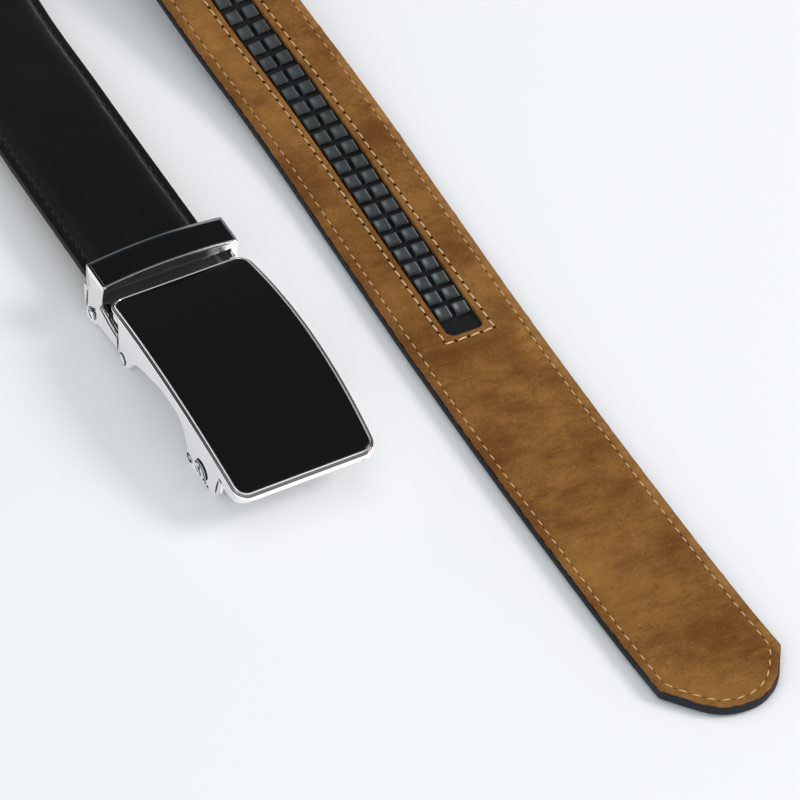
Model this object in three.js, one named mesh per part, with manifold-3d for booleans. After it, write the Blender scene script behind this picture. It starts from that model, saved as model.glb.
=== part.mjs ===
// A leather dress belt with an automatic buckle, lying folded in half.
// Millimetres, +Z up. While it is laid out, X is across the belt, Y runs from the two free
// ends (-Y) to the fold (+Y), the surface it lies on is Z = 0, and the buckle's middle is X = 0.

import * as THREE from 'three';
import { mergeGeometries, mergeVertices } from 'three/addons/utils/BufferGeometryUtils.js';
import Module from 'manifold-3d';

const wasm = await Module();
wasm.setup();

// Driving dimensions of the strap. Heights in the strap are counted from the bare suede surface
// towards the black face.
const STRAP_WIDTH = 35.6;
const LINING = 1.3;
const LAYER_GAP = 0.2;
const EDGE_THICKNESS = 3.0;
const PADDED_THICKNESS = 3.9;
const MARGIN_WIDTH = 2.2;
const SHOULDER_WIDTH = 0.9;
const STRAP_END_Y = 3.8;
const STRAP_END_Z = 7.8;

// The tip: straight tapers that meet in a round nose, which is cut a little askew.
const NOSE_RADIUS = 15;
const NOSE_OFFSET = 1.05;
const LEFT_TAPER_LENGTH = 15.2;
const RIGHT_TAPER_LENGTH = 12.7;

// The ratchet track and its slot. Distances run from the tip.
const SLOT_WIDTH = 11;
const SLOT_START = 150.5;
const TOOTH_ROWS = 36;
const TOOTH_PITCH = 6.35;
const TOOTH_LENGTH = 4.6;
const TOOTH_WIDTH = 4.4;
const TOOTH_SPACING = 5.3;
const TOOTH_INSET = 7.4;
const TRACK_SHEET = 0.9;
const TRACK_WIDTH = 26;
const TRACK_OVERLAP = 6;

// The way the strap lies: it sags from the clamp, runs flat, curls up and over, and comes down
// face down beside itself.
const SAG_LENGTH = 200;
const FLAT_LENGTH = 151.5;
const CURL_LENGTH = 184;
const DESCENT_ANGLE = THREE.MathUtils.degToRad(14);
const LANDING_LENGTH = 160;
const LANDED_LENGTH = 185.5;

// The buckle's rim and plate. The rim arches along the belt and bows out at its long sides.
const RIM_REAR = { y: -2.8, z: 17.8 };
const RIM_FRONT = { y: -81.8, z: 14.1 };
const RIM_RISE = 5.35;
const RIM_HALF_WIDTH = 20.75;
const RIM_BOW = 0.9;
const RIM_CORNER = 4.4;
const RIM_DEPTH = 2.3;
const LIP_INSET = 0.85;
const LIP_HEIGHT = 0.6;
const LIP_WIDTH = 0.5;
const PLATE_DEPTH = 1.6;
const INSERT_DEPTH = 0.9;
const INSERT_SUNK = 0.12;
const CHANNEL_HALF_WIDTH = 18.3;
const CHEEK_LEAN = 1.0;
const CHEEK_HEIGHT = 22;

// The clamp on the strap's end.
const CLAMP_HALF_WIDTH = 20.2;
const CLAMP_LENGTH = 10.2;
const BAR_END_Z = 19.8;
const BAR_RISE = 1.6;
const BAR_UNDERSIDE = 17.9;
const SHELF_FRONT = -2.6;
const SHELF_THICKNESS = 0.5;
const INLAY_RIM = 1.25;
const INLAY_POCKET = 0.9;
const EAR_THICKNESS = 2;
const FIT_GAP = 0.3;

// The axes that run across the buckle.
const HINGE_AXIS = { y: -11.0, z: 3.2 };
const JAW_AXIS = { y: 8.2, z: 3.3 };
const PAWL_AXIS = { y: -58.8, z: 4.4 };
const STOP_AXIS = { y: -53.1, z: 4.1 };

const RIVET_RADIUS = 1.4;
const JAW_PIN_RADIUS = 1.3;
const STOP_PIN_RADIUS = 1.1;
const RUNNING_GAP = 0.1;

const CURVE_STEPS = 8;
const PLAN_STEPS = 5;
const DRUM_SIDES = 16;

const chrome = new THREE.MeshStandardMaterial({ color: 0xc9cbcd, roughness: 0.12, metalness: 1 });
const gloss = new THREE.MeshStandardMaterial({ color: 0x17181a, roughness: 0.08, metalness: 0 });
const leather = new THREE.MeshStandardMaterial({ color: 0x1b1b1c, roughness: 0.5, metalness: 0 });
const suede = new THREE.MeshStandardMaterial({ color: 0x8a5f2d, roughness: 0.95, metalness: 0 });
const track = new THREE.MeshStandardMaterial({ color: 0x15191a, roughness: 0.3, metalness: 0 });

// Closed meshes and solids

function toSolid(geometry) {
  const bare = geometry.clone();
  bare.deleteAttribute('normal');
  bare.deleteAttribute('uv');
  const merged = mergeVertices(bare, 1e-4);
  return new wasm.Manifold(new wasm.Mesh({
    numProp: 3,
    vertProperties: new Float32Array(merged.attributes.position.array),
    triVerts: new Uint32Array(merged.index.array),
  }));
}

function toGeometry(solid) {
  const mesh = solid.getMesh();
  const geometry = new THREE.BufferGeometry();
  geometry.setAttribute('position', new THREE.BufferAttribute(mesh.vertProperties, 3));
  geometry.setIndex(new THREE.BufferAttribute(mesh.triVerts, 1));
  geometry.computeVertexNormals();
  return geometry;
}

// A plan outline (x, y) as a prism between two heights. Its sides lean in by a fraction of
// their distance from the middle plane, from the top down to the foot.
function standing(shape, low, high, lean = 0) {
  const geometry = new THREE.ExtrudeGeometry(shape, {
    depth: high - low,
    bevelEnabled: false,
    curveSegments: PLAN_STEPS,
  });
  const place = geometry.attributes.position;
  for (let i = 0; i < place.count; i += 1) {
    const atFoot = place.getZ(i) === 0;
    place.setX(i, place.getX(i) * (atFoot ? 1 - lean : 1));
  }
  geometry.translate(0, 0, low);
  return toSolid(geometry);
}

// A side outline drawn as (y, z), as a prism that runs across the belt from left to right.
function across(shape, left, right) {
  const geometry = new THREE.ExtrudeGeometry(shape, {
    depth: right - left,
    bevelEnabled: false,
    curveSegments: CURVE_STEPS,
  });
  geometry.translate(0, 0, left);
  geometry.applyMatrix4(new THREE.Matrix4().makeBasis(
    new THREE.Vector3(0, 1, 0), new THREE.Vector3(0, 0, 1), new THREE.Vector3(1, 0, 0),
  ));
  return toSolid(geometry);
}

// A front outline drawn as (x, z), as a prism that runs along the belt.
function along(shape, front, rear) {
  const geometry = new THREE.ExtrudeGeometry(shape, {
    depth: rear - front,
    bevelEnabled: false,
    curveSegments: CURVE_STEPS,
  });
  geometry.rotateX(Math.PI / 2);
  geometry.translate(0, rear, 0);
  return toSolid(geometry);
}

function polygon(points) {
  return new THREE.Shape(points.map(([a, b]) => new THREE.Vector2(a, b)));
}

function block(x, y, z) {
  const geometry = new THREE.BoxGeometry(x[1] - x[0], y[1] - y[0], z[1] - z[0]);
  geometry.translate((x[0] + x[1]) / 2, (y[0] + y[1]) / 2, (z[0] + z[1]) / 2);
  return toSolid(geometry);
}

// A round bar or bore whose axis runs across the belt.
function drum(axis, radius, left, right) {
  const geometry = new THREE.CylinderGeometry(radius, radius, right - left, DRUM_SIDES);
  geometry.rotateZ(Math.PI / 2);
  geometry.translate((left + right) / 2, axis.y, axis.z);
  return toSolid(geometry);
}

// The same feature on both sides of the buckle: make(side) returns the one at side -1 or +1.
function bothSides(make) {
  return make(-1).add(make(1));
}

// Left and right ends of a stretch between two distances from the middle plane.
function spanOn(side, inner, outer) {
  return side < 0 ? [-outer, -inner] : [inner, outer];
}

// The lying strap. Along it, u is the unrolled length from the clamped end; across it, v is the
// distance from its middle line; h is the height above the suede surface.

function ease(t) {
  return t * t * (3 - 2 * t);
}

const STRETCHES = (() => {
  const sag = STRAP_END_Z / (SAG_LENGTH / 2);
  const rows = [
    { name: 'held level in the clamp', length: 14, turn: 0 },
    { name: 'sags', length: SAG_LENGTH / 2, turn: -sag },
    { name: 'levels out', length: SAG_LENGTH / 2, turn: sag },
    { name: 'lies flat, face up', length: FLAT_LENGTH, turn: 0 },
    { name: 'curls up and over', length: CURL_LENGTH, turn: Math.PI + DESCENT_ANGLE },
    { name: 'comes down', length: 0, turn: 0 },
    { name: 'meets the table', length: LANDING_LENGTH, turn: -DESCENT_ANGLE },
    { name: 'lies flat, face down', length: LANDED_LENGTH, turn: 0 },
  ];
  // The straight descent takes up the height that is left between the curl and the landing.
  const steps = 400;
  const climbIn = (length, from, turn) => {
    let climb = 0;
    for (let i = 0; i < steps; i += 1) {
      climb += Math.sin(from + turn * ease((i + 0.5) / steps)) * length / steps;
    }
    return climb;
  };
  const top = climbIn(CURL_LENGTH, 0, Math.PI + DESCENT_ANGLE);
  const landing = climbIn(LANDING_LENGTH, Math.PI + DESCENT_ANGLE, -DESCENT_ANGLE);
  const descent = rows.find((row) => row.name === 'comes down');
  descent.length = (top + landing - PADDED_THICKNESS) / Math.sin(DESCENT_ANGLE);
  return rows;
})();
const STRAP_LENGTH = STRETCHES.reduce((sum, row) => sum + row.length, 0);

function climbAngle(u) {
  let angle = 0;
  let start = 0;
  for (const row of STRETCHES) {
    if (u < start + row.length) {
      return angle + row.turn * ease(Math.max(u - start, 0) / row.length);
    }
    angle += row.turn;
    start += row.length;
  }
  return angle;
}

// Side view of the suede surface, stepped along the strap.
const PATH_STEP = 0.5;
const PATH = (() => {
  const rows = [{ y: STRAP_END_Y, z: STRAP_END_Z }];
  for (let u = 0; u < STRAP_LENGTH; u += PATH_STEP) {
    const angle = climbAngle(u + PATH_STEP / 2);
    const last = rows[rows.length - 1];
    rows.push({ y: last.y + PATH_STEP * Math.cos(angle), z: last.z + PATH_STEP * Math.sin(angle) });
  }
  return rows;
})();

function sideView(u) {
  const place = THREE.MathUtils.clamp(u / PATH_STEP, 0, PATH.length - 1.001);
  const index = Math.floor(place);
  const part = place - index;
  const angle = climbAngle(u);
  const beyond = u < 0 ? u : 0;
  return {
    y: THREE.MathUtils.lerp(PATH[index].y, PATH[index + 1].y, part) + beyond,
    z: THREE.MathUtils.lerp(PATH[index].z, PATH[index + 1].z, part),
    angle,
  };
}

// How far the strap's middle line has wandered sideways, by distance from the clamped end or,
// in the later rows, from the tip.
const DRIFT = [
  { u: 0, x: 0 },
  { u: 50, x: 0 },
  { u: 80, x: 0.6 },
  { u: 120, x: 2.0 },
  { u: 390, x: 24 },
  { u: 545, x: 41 },
  { u: STRAP_LENGTH - 394.5, x: 58.5 },
  { u: STRAP_LENGTH - 317.5, x: 64.1 },
  { u: STRAP_LENGTH - 286.5, x: 66.0 },
  { u: STRAP_LENGTH - 256.5, x: 67.8 },
  { u: STRAP_LENGTH - 230.5, x: 68.2 },
  { u: STRAP_LENGTH - 196.5, x: 67.3 },
  { u: STRAP_LENGTH - 151.5, x: 65.9 },
  { u: STRAP_LENGTH - 103.5, x: 65.2 },
  { u: STRAP_LENGTH - 58.5, x: 65.2 },
  { u: STRAP_LENGTH - 31.5, x: 65.6 },
  { u: STRAP_LENGTH - 13.5, x: 66.4 },
  { u: STRAP_LENGTH, x: 67.5 },
];

// Cubic through the rows above, with the slope at each row set by its neighbours.
function drift(u) {
  const at = THREE.MathUtils.clamp(u, 0, STRAP_LENGTH);
  const slope = (i) => {
    const before = DRIFT[Math.max(i - 1, 0)];
    const after = DRIFT[Math.min(i + 1, DRIFT.length - 1)];
    return (after.x - before.x) / (after.u - before.u);
  };
  let i = 0;
  while (i < DRIFT.length - 2 && at > DRIFT[i + 1].u) {
    i += 1;
  }
  const span = DRIFT[i + 1].u - DRIFT[i].u;
  const t = (at - DRIFT[i].u) / span;
  const a = slope(i) * span;
  const b = slope(i + 1) * span;
  const rise = DRIFT[i + 1].x - DRIFT[i].x;
  return DRIFT[i].x + t * (a + t * (3 * rise - 2 * a - b + t * (a + b - 2 * rise)));
}

function strapPoint(u, v, h) {
  const heading = Math.atan((drift(u + 1) - drift(u - 1)) / 2);
  const side = sideView(u - v * Math.sin(heading));
  return new THREE.Vector3(
    drift(u) + v * Math.cos(heading),
    side.y - h * Math.sin(side.angle),
    side.z + h * Math.cos(side.angle),
  );
}

// The taper on one side of the nose: its angle, and where it leaves the nose's circle, as w
// across from the circle's middle and d from the tip.
function taper(side, length) {
  const reach = STRAP_WIDTH / 2 - side * NOSE_OFFSET;
  const back = length - NOSE_RADIUS;
  const angle = Math.PI / 2 + Math.atan2(back, reach)
    - Math.acos(NOSE_RADIUS / Math.hypot(reach, back));
  return {
    angle,
    w: NOSE_RADIUS * Math.sin(angle),
    d: NOSE_RADIUS * (1 - Math.cos(angle)),
  };
}
const LEFT_TAPER = taper(-1, LEFT_TAPER_LENGTH);
const RIGHT_TAPER = taper(1, RIGHT_TAPER_LENGTH);

// Where the strap's left or right edge is, by distance from the tip.
function edgeAt(side, fromTip) {
  const { angle, w, d } = side < 0 ? LEFT_TAPER : RIGHT_TAPER;
  const across = fromTip < d
    ? Math.sqrt(NOSE_RADIUS ** 2 - (NOSE_RADIUS - fromTip) ** 2)
    : w + (fromTip - d) / Math.tan(angle);
  return side * Math.min(STRAP_WIDTH / 2, across + side * NOSE_OFFSET);
}

// The lining is lifted where the track's sheet lies under it.
const LIFT = TRACK_SHEET;
const LIFT_REACH = 0.76;
const LIFT_RAMP = 3;
const SLOT_LENGTH = TOOTH_ROWS * TOOTH_PITCH + 2 * TOOTH_INSET - (TOOTH_PITCH - TOOTH_LENGTH);
const LIFT_START = SLOT_START - TRACK_OVERLAP;
const LIFT_END = SLOT_START + SLOT_LENGTH + TRACK_OVERLAP;

function liningLift(fromTip) {
  const rise = THREE.MathUtils.clamp((fromTip - LIFT_START + LIFT_RAMP) / LIFT_RAMP, 0, 1);
  const fall = THREE.MathUtils.clamp((LIFT_END + LIFT_RAMP - fromTip) / LIFT_RAMP, 0, 1);
  return LIFT * Math.min(rise, fall);
}

// Where the strap is cut into short straight lengths: closer in the bends and at the tip.
const STATIONS = (() => {
  const cuts = [];
  let start = 0;
  for (const row of STRETCHES) {
    const coarse = row.turn === 0 ? 30 : 20;
    const step = Math.abs(row.turn) > 1 ? 6 : coarse;
    const count = Math.max(1, Math.round(row.length / step));
    for (let i = 0; i < count; i += 1) {
      cuts.push(start + row.length * i / count);
    }
    start += row.length;
  }
  const tip = [
    LEFT_TAPER_LENGTH, RIGHT_TAPER_LENGTH, RIGHT_TAPER.d, LEFT_TAPER.d, 3.6, 2, 1, 0.4, 0.05,
  ];
  const lift = [LIFT_START - LIFT_RAMP, LIFT_START, LIFT_END, LIFT_END + LIFT_RAMP];
  const clear = cuts.filter((u) => STRAP_LENGTH - u > LEFT_TAPER_LENGTH + 1);
  return [...clear, ...tip.concat(lift).map((d) => STRAP_LENGTH - d)].sort((a, b) => a - b);
})();

// A closed body through one outline per station. Each outline is a list of [v, h], and its first
// and last are closed by a fan about a middle point at height 'core'. Every quad is split from
// its left near corner to its right far one, so that faces of two layers stay parallel.
function loft(stations, outlineAt, core) {
  const outlines = stations.map(outlineAt);
  const count = outlines[0].length;
  const positions = [];
  stations.forEach((u, i) => {
    outlines[i].forEach(([v, h]) => positions.push(...strapPoint(u, v, h).toArray()));
  });
  const index = [];
  const last = stations.length - 1;
  const near = stations.length * count;
  const far = near + 1;
  positions.push(...strapPoint(stations[0], 0, core).toArray());
  positions.push(...strapPoint(stations[last], 0, core).toArray());
  for (let j = 0; j < count; j += 1) {
    const next = (j + 1) % count;
    for (let i = 0; i < last; i += 1) {
      const a = i * count + j;
      const b = i * count + next;
      const rightwards = outlines[i][next][0] > outlines[i][j][0];
      const split = rightwards ? [a, b + count] : [b, a + count];
      index.push(a, split[1], b, split[0], a + count, b + count);
    }
    index.push(near, j, next, far, last * count + next, last * count + j);
  }
  const geometry = new THREE.BufferGeometry();
  geometry.setAttribute('position', new THREE.Float32BufferAttribute(positions, 3));
  geometry.setIndex(index);
  return geometry;
}

// A closed body drawn flat as (v, u, h), laid along the strap.
function layDown(geometry) {
  const place = geometry.attributes.position;
  for (let i = 0; i < place.count; i += 1) {
    const point = strapPoint(place.getY(i), place.getX(i), place.getZ(i));
    place.setXYZ(i, point.x, point.y, point.z);
  }
  return geometry;
}

// Outlines run anticlockwise when the strap is seen from the clamp's side with its face up.
// Each is drawn over a plain width of 2, from -1 to 1, and then set between the two edges.
function crossSection(u, outline) {
  const [left, right] = [edgeAt(-1, STRAP_LENGTH - u), edgeAt(1, STRAP_LENGTH - u)];
  return outline.map(([t, h]) => [(left + right) / 2 + t * (right - left) / 2, h]);
}

function strapFace() {
  const base = LINING + LAYER_GAP;
  const foot = 1 - MARGIN_WIDTH * 2 / STRAP_WIDTH;
  const shoulder = foot - SHOULDER_WIDTH * 2 / STRAP_WIDTH;
  return toSolid(loft(STATIONS, (u) => {
    const room = THREE.MathUtils.clamp((STRAP_LENGTH - u - 3) / 3, 0, 1);
    const padded = THREE.MathUtils.lerp(EDGE_THICKNESS + 0.01, PADDED_THICKNESS, room);
    return crossSection(u, [
      [-1, base], [-LIFT_REACH, base], [LIFT_REACH, base], [1, base],
      [1, EDGE_THICKNESS], [foot, EDGE_THICKNESS], [shoulder, padded],
      [-shoulder, padded], [-foot, EDGE_THICKNESS], [-1, EDGE_THICKNESS],
    ]);
  }, (LINING + EDGE_THICKNESS) / 2));
}

function strapBack() {
  const reach = LIFT_REACH;
  const lining = toSolid(loft(STATIONS, (u) => {
    const lift = liningLift(STRAP_LENGTH - u);
    return crossSection(u, [
      [-1, 0], [-reach, -lift], [reach, -lift], [1, 0],
      [1, LINING], [reach, LINING - lift], [-reach, LINING - lift], [-1, LINING],
    ]);
  }, LINING / 2));
  const first = STRAP_LENGTH - SLOT_START - SLOT_LENGTH;
  const last = STRAP_LENGTH - SLOT_START;
  const inside = STATIONS.filter((u) => u > first + 1 && u < last - 1);
  const slot = loft([first, ...inside, last], () => {
    const half = SLOT_WIDTH / 2;
    return [[-half, -4], [half, -4], [half, 4], [-half, 4]];
  }, 0);
  return lining.subtract(toSolid(slot));
}

function ratchetTrack() {
  const under = LINING + LAYER_GAP - LIFT;
  const first = STRAP_LENGTH - LIFT_END;
  const last = STRAP_LENGTH - LIFT_START;
  const inside = STATIONS.filter((u) => u > first + 1 && u < last - 1);
  const half = TRACK_WIDTH / 2;
  const sheet = loft([first, ...inside, last], () => [
    [-half, under - 0.1], [half, under - 0.1],
    [half, LINING], [-half, LINING],
  ], LINING - 0.1);
  const low = -LIFT + 0.7;
  const high = -LIFT + 0.1;
  const teeth = [];
  for (let row = 0; row < TOOTH_ROWS; row += 1) {
    const near = SLOT_START + TOOTH_INSET + row * TOOTH_PITCH;
    const u = STRAP_LENGTH - near - TOOTH_LENGTH / 2;
    for (const side of [-1, 1]) {
      const tooth = new THREE.BoxGeometry(TOOTH_WIDTH, TOOTH_LENGTH, LINING);
      const place = tooth.attributes.position;
      for (let i = 0; i < place.count; i += 1) {
        const top = place.getZ(i) < 0;
        const towardsTip = place.getY(i) > 0;
        const taper = top ? 0.84 : 1;
        place.setX(i, place.getX(i) * taper + side * TOOTH_SPACING / 2);
        place.setY(i, place.getY(i) * taper + u);
        place.setZ(i, top ? (towardsTip ? low : high) : under + 0.2);
      }
      teeth.push(layDown(tooth));
    }
  }
  return toSolid(sheet).add(toSolid(mergeGeometries(teeth)));
}

// The buckle's frame

// Centre and radius of the circle that carries the top of the rim, in side view.
const ARCH = (() => {
  const dy = RIM_FRONT.y - RIM_REAR.y;
  const dz = RIM_FRONT.z - RIM_REAR.z;
  const chord = Math.hypot(dy, dz);
  const radius = chord ** 2 / (8 * RIM_RISE) + RIM_RISE / 2;
  const drop = radius - RIM_RISE;
  return {
    y: (RIM_REAR.y + RIM_FRONT.y) / 2 - drop * dz / chord,
    z: (RIM_REAR.z + RIM_FRONT.z) / 2 - drop * Math.abs(dy) / chord,
    radius,
  };
})();

// Side view of the space between two arcs, offset inwards from the top of the rim. It runs past
// both ends of the buckle.
function archBand(upper, lower) {
  const reach = Math.asin(52 / ARCH.radius);
  const outer = ARCH.radius - upper;
  const inner = ARCH.radius - lower;
  const shape = new THREE.Shape();
  shape.absarc(ARCH.y, ARCH.z, outer, Math.PI / 2 - reach, Math.PI / 2 + reach, false);
  shape.absarc(ARCH.y, ARCH.z, inner, Math.PI / 2 + reach, Math.PI / 2 - reach, true);
  return shape;
}

// Plan of the buckle, shrunk on all sides by an inset.
function rimPlan(inset) {
  const half = RIM_HALF_WIDTH - inset;
  const corner = RIM_CORNER - inset;
  const rear = RIM_REAR.y - inset;
  const front = RIM_FRONT.y + inset;
  const middle = (rear + front) / 2;
  const bow = half + 2 * RIM_BOW;
  const shape = new THREE.Shape();
  shape.moveTo(-half + corner, front);
  shape.lineTo(half - corner, front);
  shape.absarc(half - corner, front + corner, corner, -Math.PI / 2, 0, false);
  shape.quadraticCurveTo(bow, middle, half, rear - corner);
  shape.absarc(half - corner, rear - corner, corner, 0, Math.PI / 2, false);
  shape.lineTo(-half + corner, rear);
  shape.absarc(-half + corner, rear - corner, corner, Math.PI / 2, Math.PI, false);
  shape.quadraticCurveTo(-bow, middle, -half, front + corner);
  shape.absarc(-half + corner, front + corner, corner, Math.PI, 1.5 * Math.PI, false);
  return shape;
}

// Side view of a cheek, from the rear skirt round the hinge lobe, over the arch and down the
// front leg to the notch and the front skirt. Its top runs inside the rim.
function cheekOutline() {
  const shape = new THREE.Shape();
  const lobe = 3.2;
  const boss = 4.4;
  shape.moveTo(-2, 12.9);
  shape.lineTo(-2, 15.5);
  shape.lineTo(-22, 21.9);
  shape.lineTo(-60, 21.9);
  shape.lineTo(-84, 12.6);
  shape.lineTo(-81.8, 11.6);
  shape.quadraticCurveTo(-76, 8.3, -71.4, 10.4);
  shape.lineTo(-69.7, 11.3);
  shape.lineTo(-69.2, 8.7);
  shape.lineTo(-68.2, 4.2);
  shape.quadraticCurveTo(-67.6, 0.9, -65.6, 0.9);
  shape.quadraticCurveTo(-63.6, 0, -62.4, 0.6);
  shape.absarc(PAWL_AXIS.y, PAWL_AXIS.z, boss, -2.5, -Math.PI / 2, false);
  shape.lineTo(-53.6, 0);
  shape.quadraticCurveTo(-51.6, 0.4, -51.7, 3.4);
  shape.bezierCurveTo(-51.5, 13.4, -48.6, 15.9, -43.4, 15.9);
  shape.quadraticCurveTo(-36, 15.9, -29.8, 13);
  shape.quadraticCurveTo(-19.6, 10.6, -14.1, 2.4);
  shape.absarc(HINGE_AXIS.y, HINGE_AXIS.z, lobe, Math.PI + 0.3, 2 * Math.PI, false);
  shape.lineTo(HINGE_AXIS.y + 2.8, 5.2);
  shape.lineTo(HINGE_AXIS.y + 2.8, 13.2);
  return shape;
}

function buckleFrame() {
  const wide = 30;
  const rim = across(archBand(LIP_HEIGHT, RIM_DEPTH), -wide, wide)
    .intersect(standing(rimPlan(0), 0, 40));
  const lip = across(archBand(0, PLATE_DEPTH), -wide, wide)
    .intersect(standing(rimPlan(LIP_INSET), 0, 40));
  // The underside is hollow inside the rim and open at the rear, where the tail comes out.
  const hollow = standing(rimPlan(RIM_HALF_WIDTH - CHANNEL_HALF_WIDTH), 0, 40)
    .add(block([-CHANNEL_HALF_WIDTH, CHANNEL_HALF_WIDTH], [-20, 5], [0, 40]))
    .intersect(across(archBand(PLATE_DEPTH, PLATE_DEPTH + 4), -wide, wide));
  const cheeks = across(cheekOutline(), -wide, wide)
    .intersect(standing(rimPlan(0), 0, CHEEK_HEIGHT, CHEEK_LEAN / RIM_HALF_WIDTH))
    .subtract(across(archBand(-20, PLATE_DEPTH - 0.5), -wide, wide))
    .subtract(block([-CHANNEL_HALF_WIDTH, CHANNEL_HALF_WIDTH], [-100, 10], [-10, 60]));
  const barEnd = CHANNEL_HALF_WIDTH + 0.5;
  const crossBar = block([-barEnd, barEnd], [-68.8, -66.9], [4.9, 10.2]);
  const pocket = across(archBand(-8, INSERT_DEPTH), -wide, wide)
    .intersect(standing(rimPlan(LIP_INSET + LIP_WIDTH), 0, 60));
  let frame = rim.add(lip).subtract(hollow).subtract(pocket).add(cheeks).add(crossBar);
  const bores = [
    { axis: HINGE_AXIS, pin: RIVET_RADIUS, sink: 2.4, depth: 0.6 },
    { axis: PAWL_AXIS, pin: RIVET_RADIUS, sink: 3.7, depth: 0.8 },
    { axis: STOP_AXIS, pin: STOP_PIN_RADIUS, sink: 0, depth: 0 },
  ];
  for (const { axis, pin, sink, depth } of bores) {
    const bore = pin + RUNNING_GAP;
    frame = frame.subtract(bothSides((side) => drum(axis, bore, ...spanOn(side, 15, 25))));
    if (depth > 0) {
      const floor = cheekFace(axis) - depth;
      frame = frame.subtract(bothSides((side) => drum(axis, sink, ...spanOn(side, floor, 25))));
    }
  }
  return frame;
}

// Distance of a cheek's outer face from the middle plane, at a pin.
function cheekFace(axis) {
  const middle = (RIM_REAR.y + RIM_FRONT.y) / 2;
  const reach = (RIM_REAR.y - RIM_FRONT.y) / 2 - RIM_CORNER;
  const plan = RIM_HALF_WIDTH + RIM_BOW * (1 - ((axis.y - middle) / reach) ** 2);
  return plan * (1 - CHEEK_LEAN / RIM_HALF_WIDTH * (1 - axis.z / CHEEK_HEIGHT));
}

function facePlate() {
  return across(archBand(INSERT_SUNK, INSERT_DEPTH - 0.2), -30, 30)
    .intersect(standing(rimPlan(LIP_INSET + LIP_WIDTH + 0.15), 0, 60));
}

// The clamp

const CLAMP_ARCH = CLAMP_HALF_WIDTH ** 2 / (2 * BAR_RISE) + BAR_RISE / 2;

// Front view of the clamp's arched bar between two arcs, offset downwards from its top.
function barBand(half, upper, lower) {
  const reach = Math.asin(half / CLAMP_ARCH);
  const middle = BAR_END_Z + BAR_RISE - CLAMP_ARCH;
  const [left, right] = [Math.PI / 2 + reach, Math.PI / 2 - reach];
  const shape = new THREE.Shape();
  shape.absarc(0, middle, CLAMP_ARCH - upper, right, left, false);
  shape.absarc(0, middle, CLAMP_ARCH - lower, left, right, true);
  return shape;
}

// Side view of the clamp: sloping front wall, ear, pin lobe and the arm that reaches forward.
function clampSide() {
  const lobe = 3.3;
  const shape = new THREE.Shape();
  shape.moveTo(0, 24);
  shape.lineTo(0, 19);
  shape.lineTo(1.3, 12.6);
  shape.lineTo(SHELF_FRONT, 12.6);
  shape.lineTo(SHELF_FRONT, 10.6);
  shape.lineTo(-7.6, 9.6);
  shape.lineTo(-7.6, 4.3);
  shape.lineTo(5.2, 2.2);
  shape.absarc(JAW_AXIS.y, JAW_AXIS.z, lobe, Math.PI + 0.4, 2 * Math.PI + 0.3, false);
  shape.lineTo(9.9, 10.9);
  shape.lineTo(CLAMP_LENGTH + 0.9, 11.8);
  shape.lineTo(CLAMP_LENGTH, 24);
  return shape;
}

function clampHousing() {
  const pocket = STRAP_WIDTH / 2 + FIT_GAP;
  const inner = CLAMP_HALF_WIDTH - EAR_THICKNESS;
  const strapTop = STRAP_END_Z + PADDED_THICKNESS + FIT_GAP;
  const strapUnder = STRAP_END_Z - FIT_GAP;
  const half = CLAMP_HALF_WIDTH;
  // Room for the strap's end, for its tail above the shelf, and for the jaw.
  const rooms = [
    block([-pocket, pocket], [STRAP_END_Y - FIT_GAP, 30], [strapUnder, strapTop]),
    block([-inner, inner], [-30, 30], [strapTop + SHELF_THICKNESS, BAR_UNDERSIDE]),
    block([-inner, inner], [-30, 30], [-5, 5.4]),
    block([-inner, inner], [-30, 1.2], [-5, strapTop]),
    block([-inner, inner], [5.4, 30], [-5, strapUnder + 0.1]),
    block([-inner, inner], [-30, SHELF_FRONT], [-5, BAR_UNDERSIDE]),
  ];
  let housing = across(clampSide(), -half, half)
    .subtract(along(barBand(half + 4, -30, 0), -30, 30));
  for (const room of rooms) {
    housing = housing.subtract(room);
  }
  // A pocket in the bar's top for the inlay, leaving a rim round it.
  const [front, rear] = [INLAY_RIM, CLAMP_LENGTH - INLAY_RIM];
  housing = housing.subtract(along(barBand(half - INLAY_RIM, -10, INLAY_POCKET), front, rear));
  // Tongues that carry the hinge, inside the cheeks.
  const tongueOuter = CHANNEL_HALF_WIDTH - FIT_GAP;
  const tongueInner = tongueOuter - 1.9;
  const tongueShape = new THREE.Shape();
  tongueShape.moveTo(-1, 5.2);
  tongueShape.lineTo(-1, 9.2);
  tongueShape.lineTo(-8.2, 8.6);
  tongueShape.lineTo(-13.4, 4.6);
  tongueShape.absarc(HINGE_AXIS.y, HINGE_AXIS.z, 2.8, Math.PI - 0.5, 1.5 * Math.PI, false);
  tongueShape.lineTo(-7.6, 1.6);
  const root = polygon([[-7.6, 4.6], [-1, 5], [-1, 9.2], [-7.6, 8.6]]);
  const tongues = bothSides((side) => across(tongueShape, ...spanOn(side, tongueInner, tongueOuter))
    .add(across(root, ...spanOn(side, tongueInner, CLAMP_HALF_WIDTH - 0.5))));
  const hingeBore = RIVET_RADIUS + RUNNING_GAP;
  const jawBore = JAW_PIN_RADIUS + RUNNING_GAP;
  const hingeBores = bothSides((side) => drum(HINGE_AXIS, hingeBore, ...spanOn(side, 14, 19)));
  const jawBores = bothSides((side) => drum(JAW_AXIS, jawBore, ...spanOn(side, 14, 24)));
  return housing.add(tongues).subtract(hingeBores).subtract(jawBores);
}

function clampInlay() {
  const rim = INLAY_RIM + 0.1;
  return along(barBand(CLAMP_HALF_WIDTH - rim, 0.15, INLAY_POCKET - 0.1), rim, CLAMP_LENGTH - rim);
}

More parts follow.
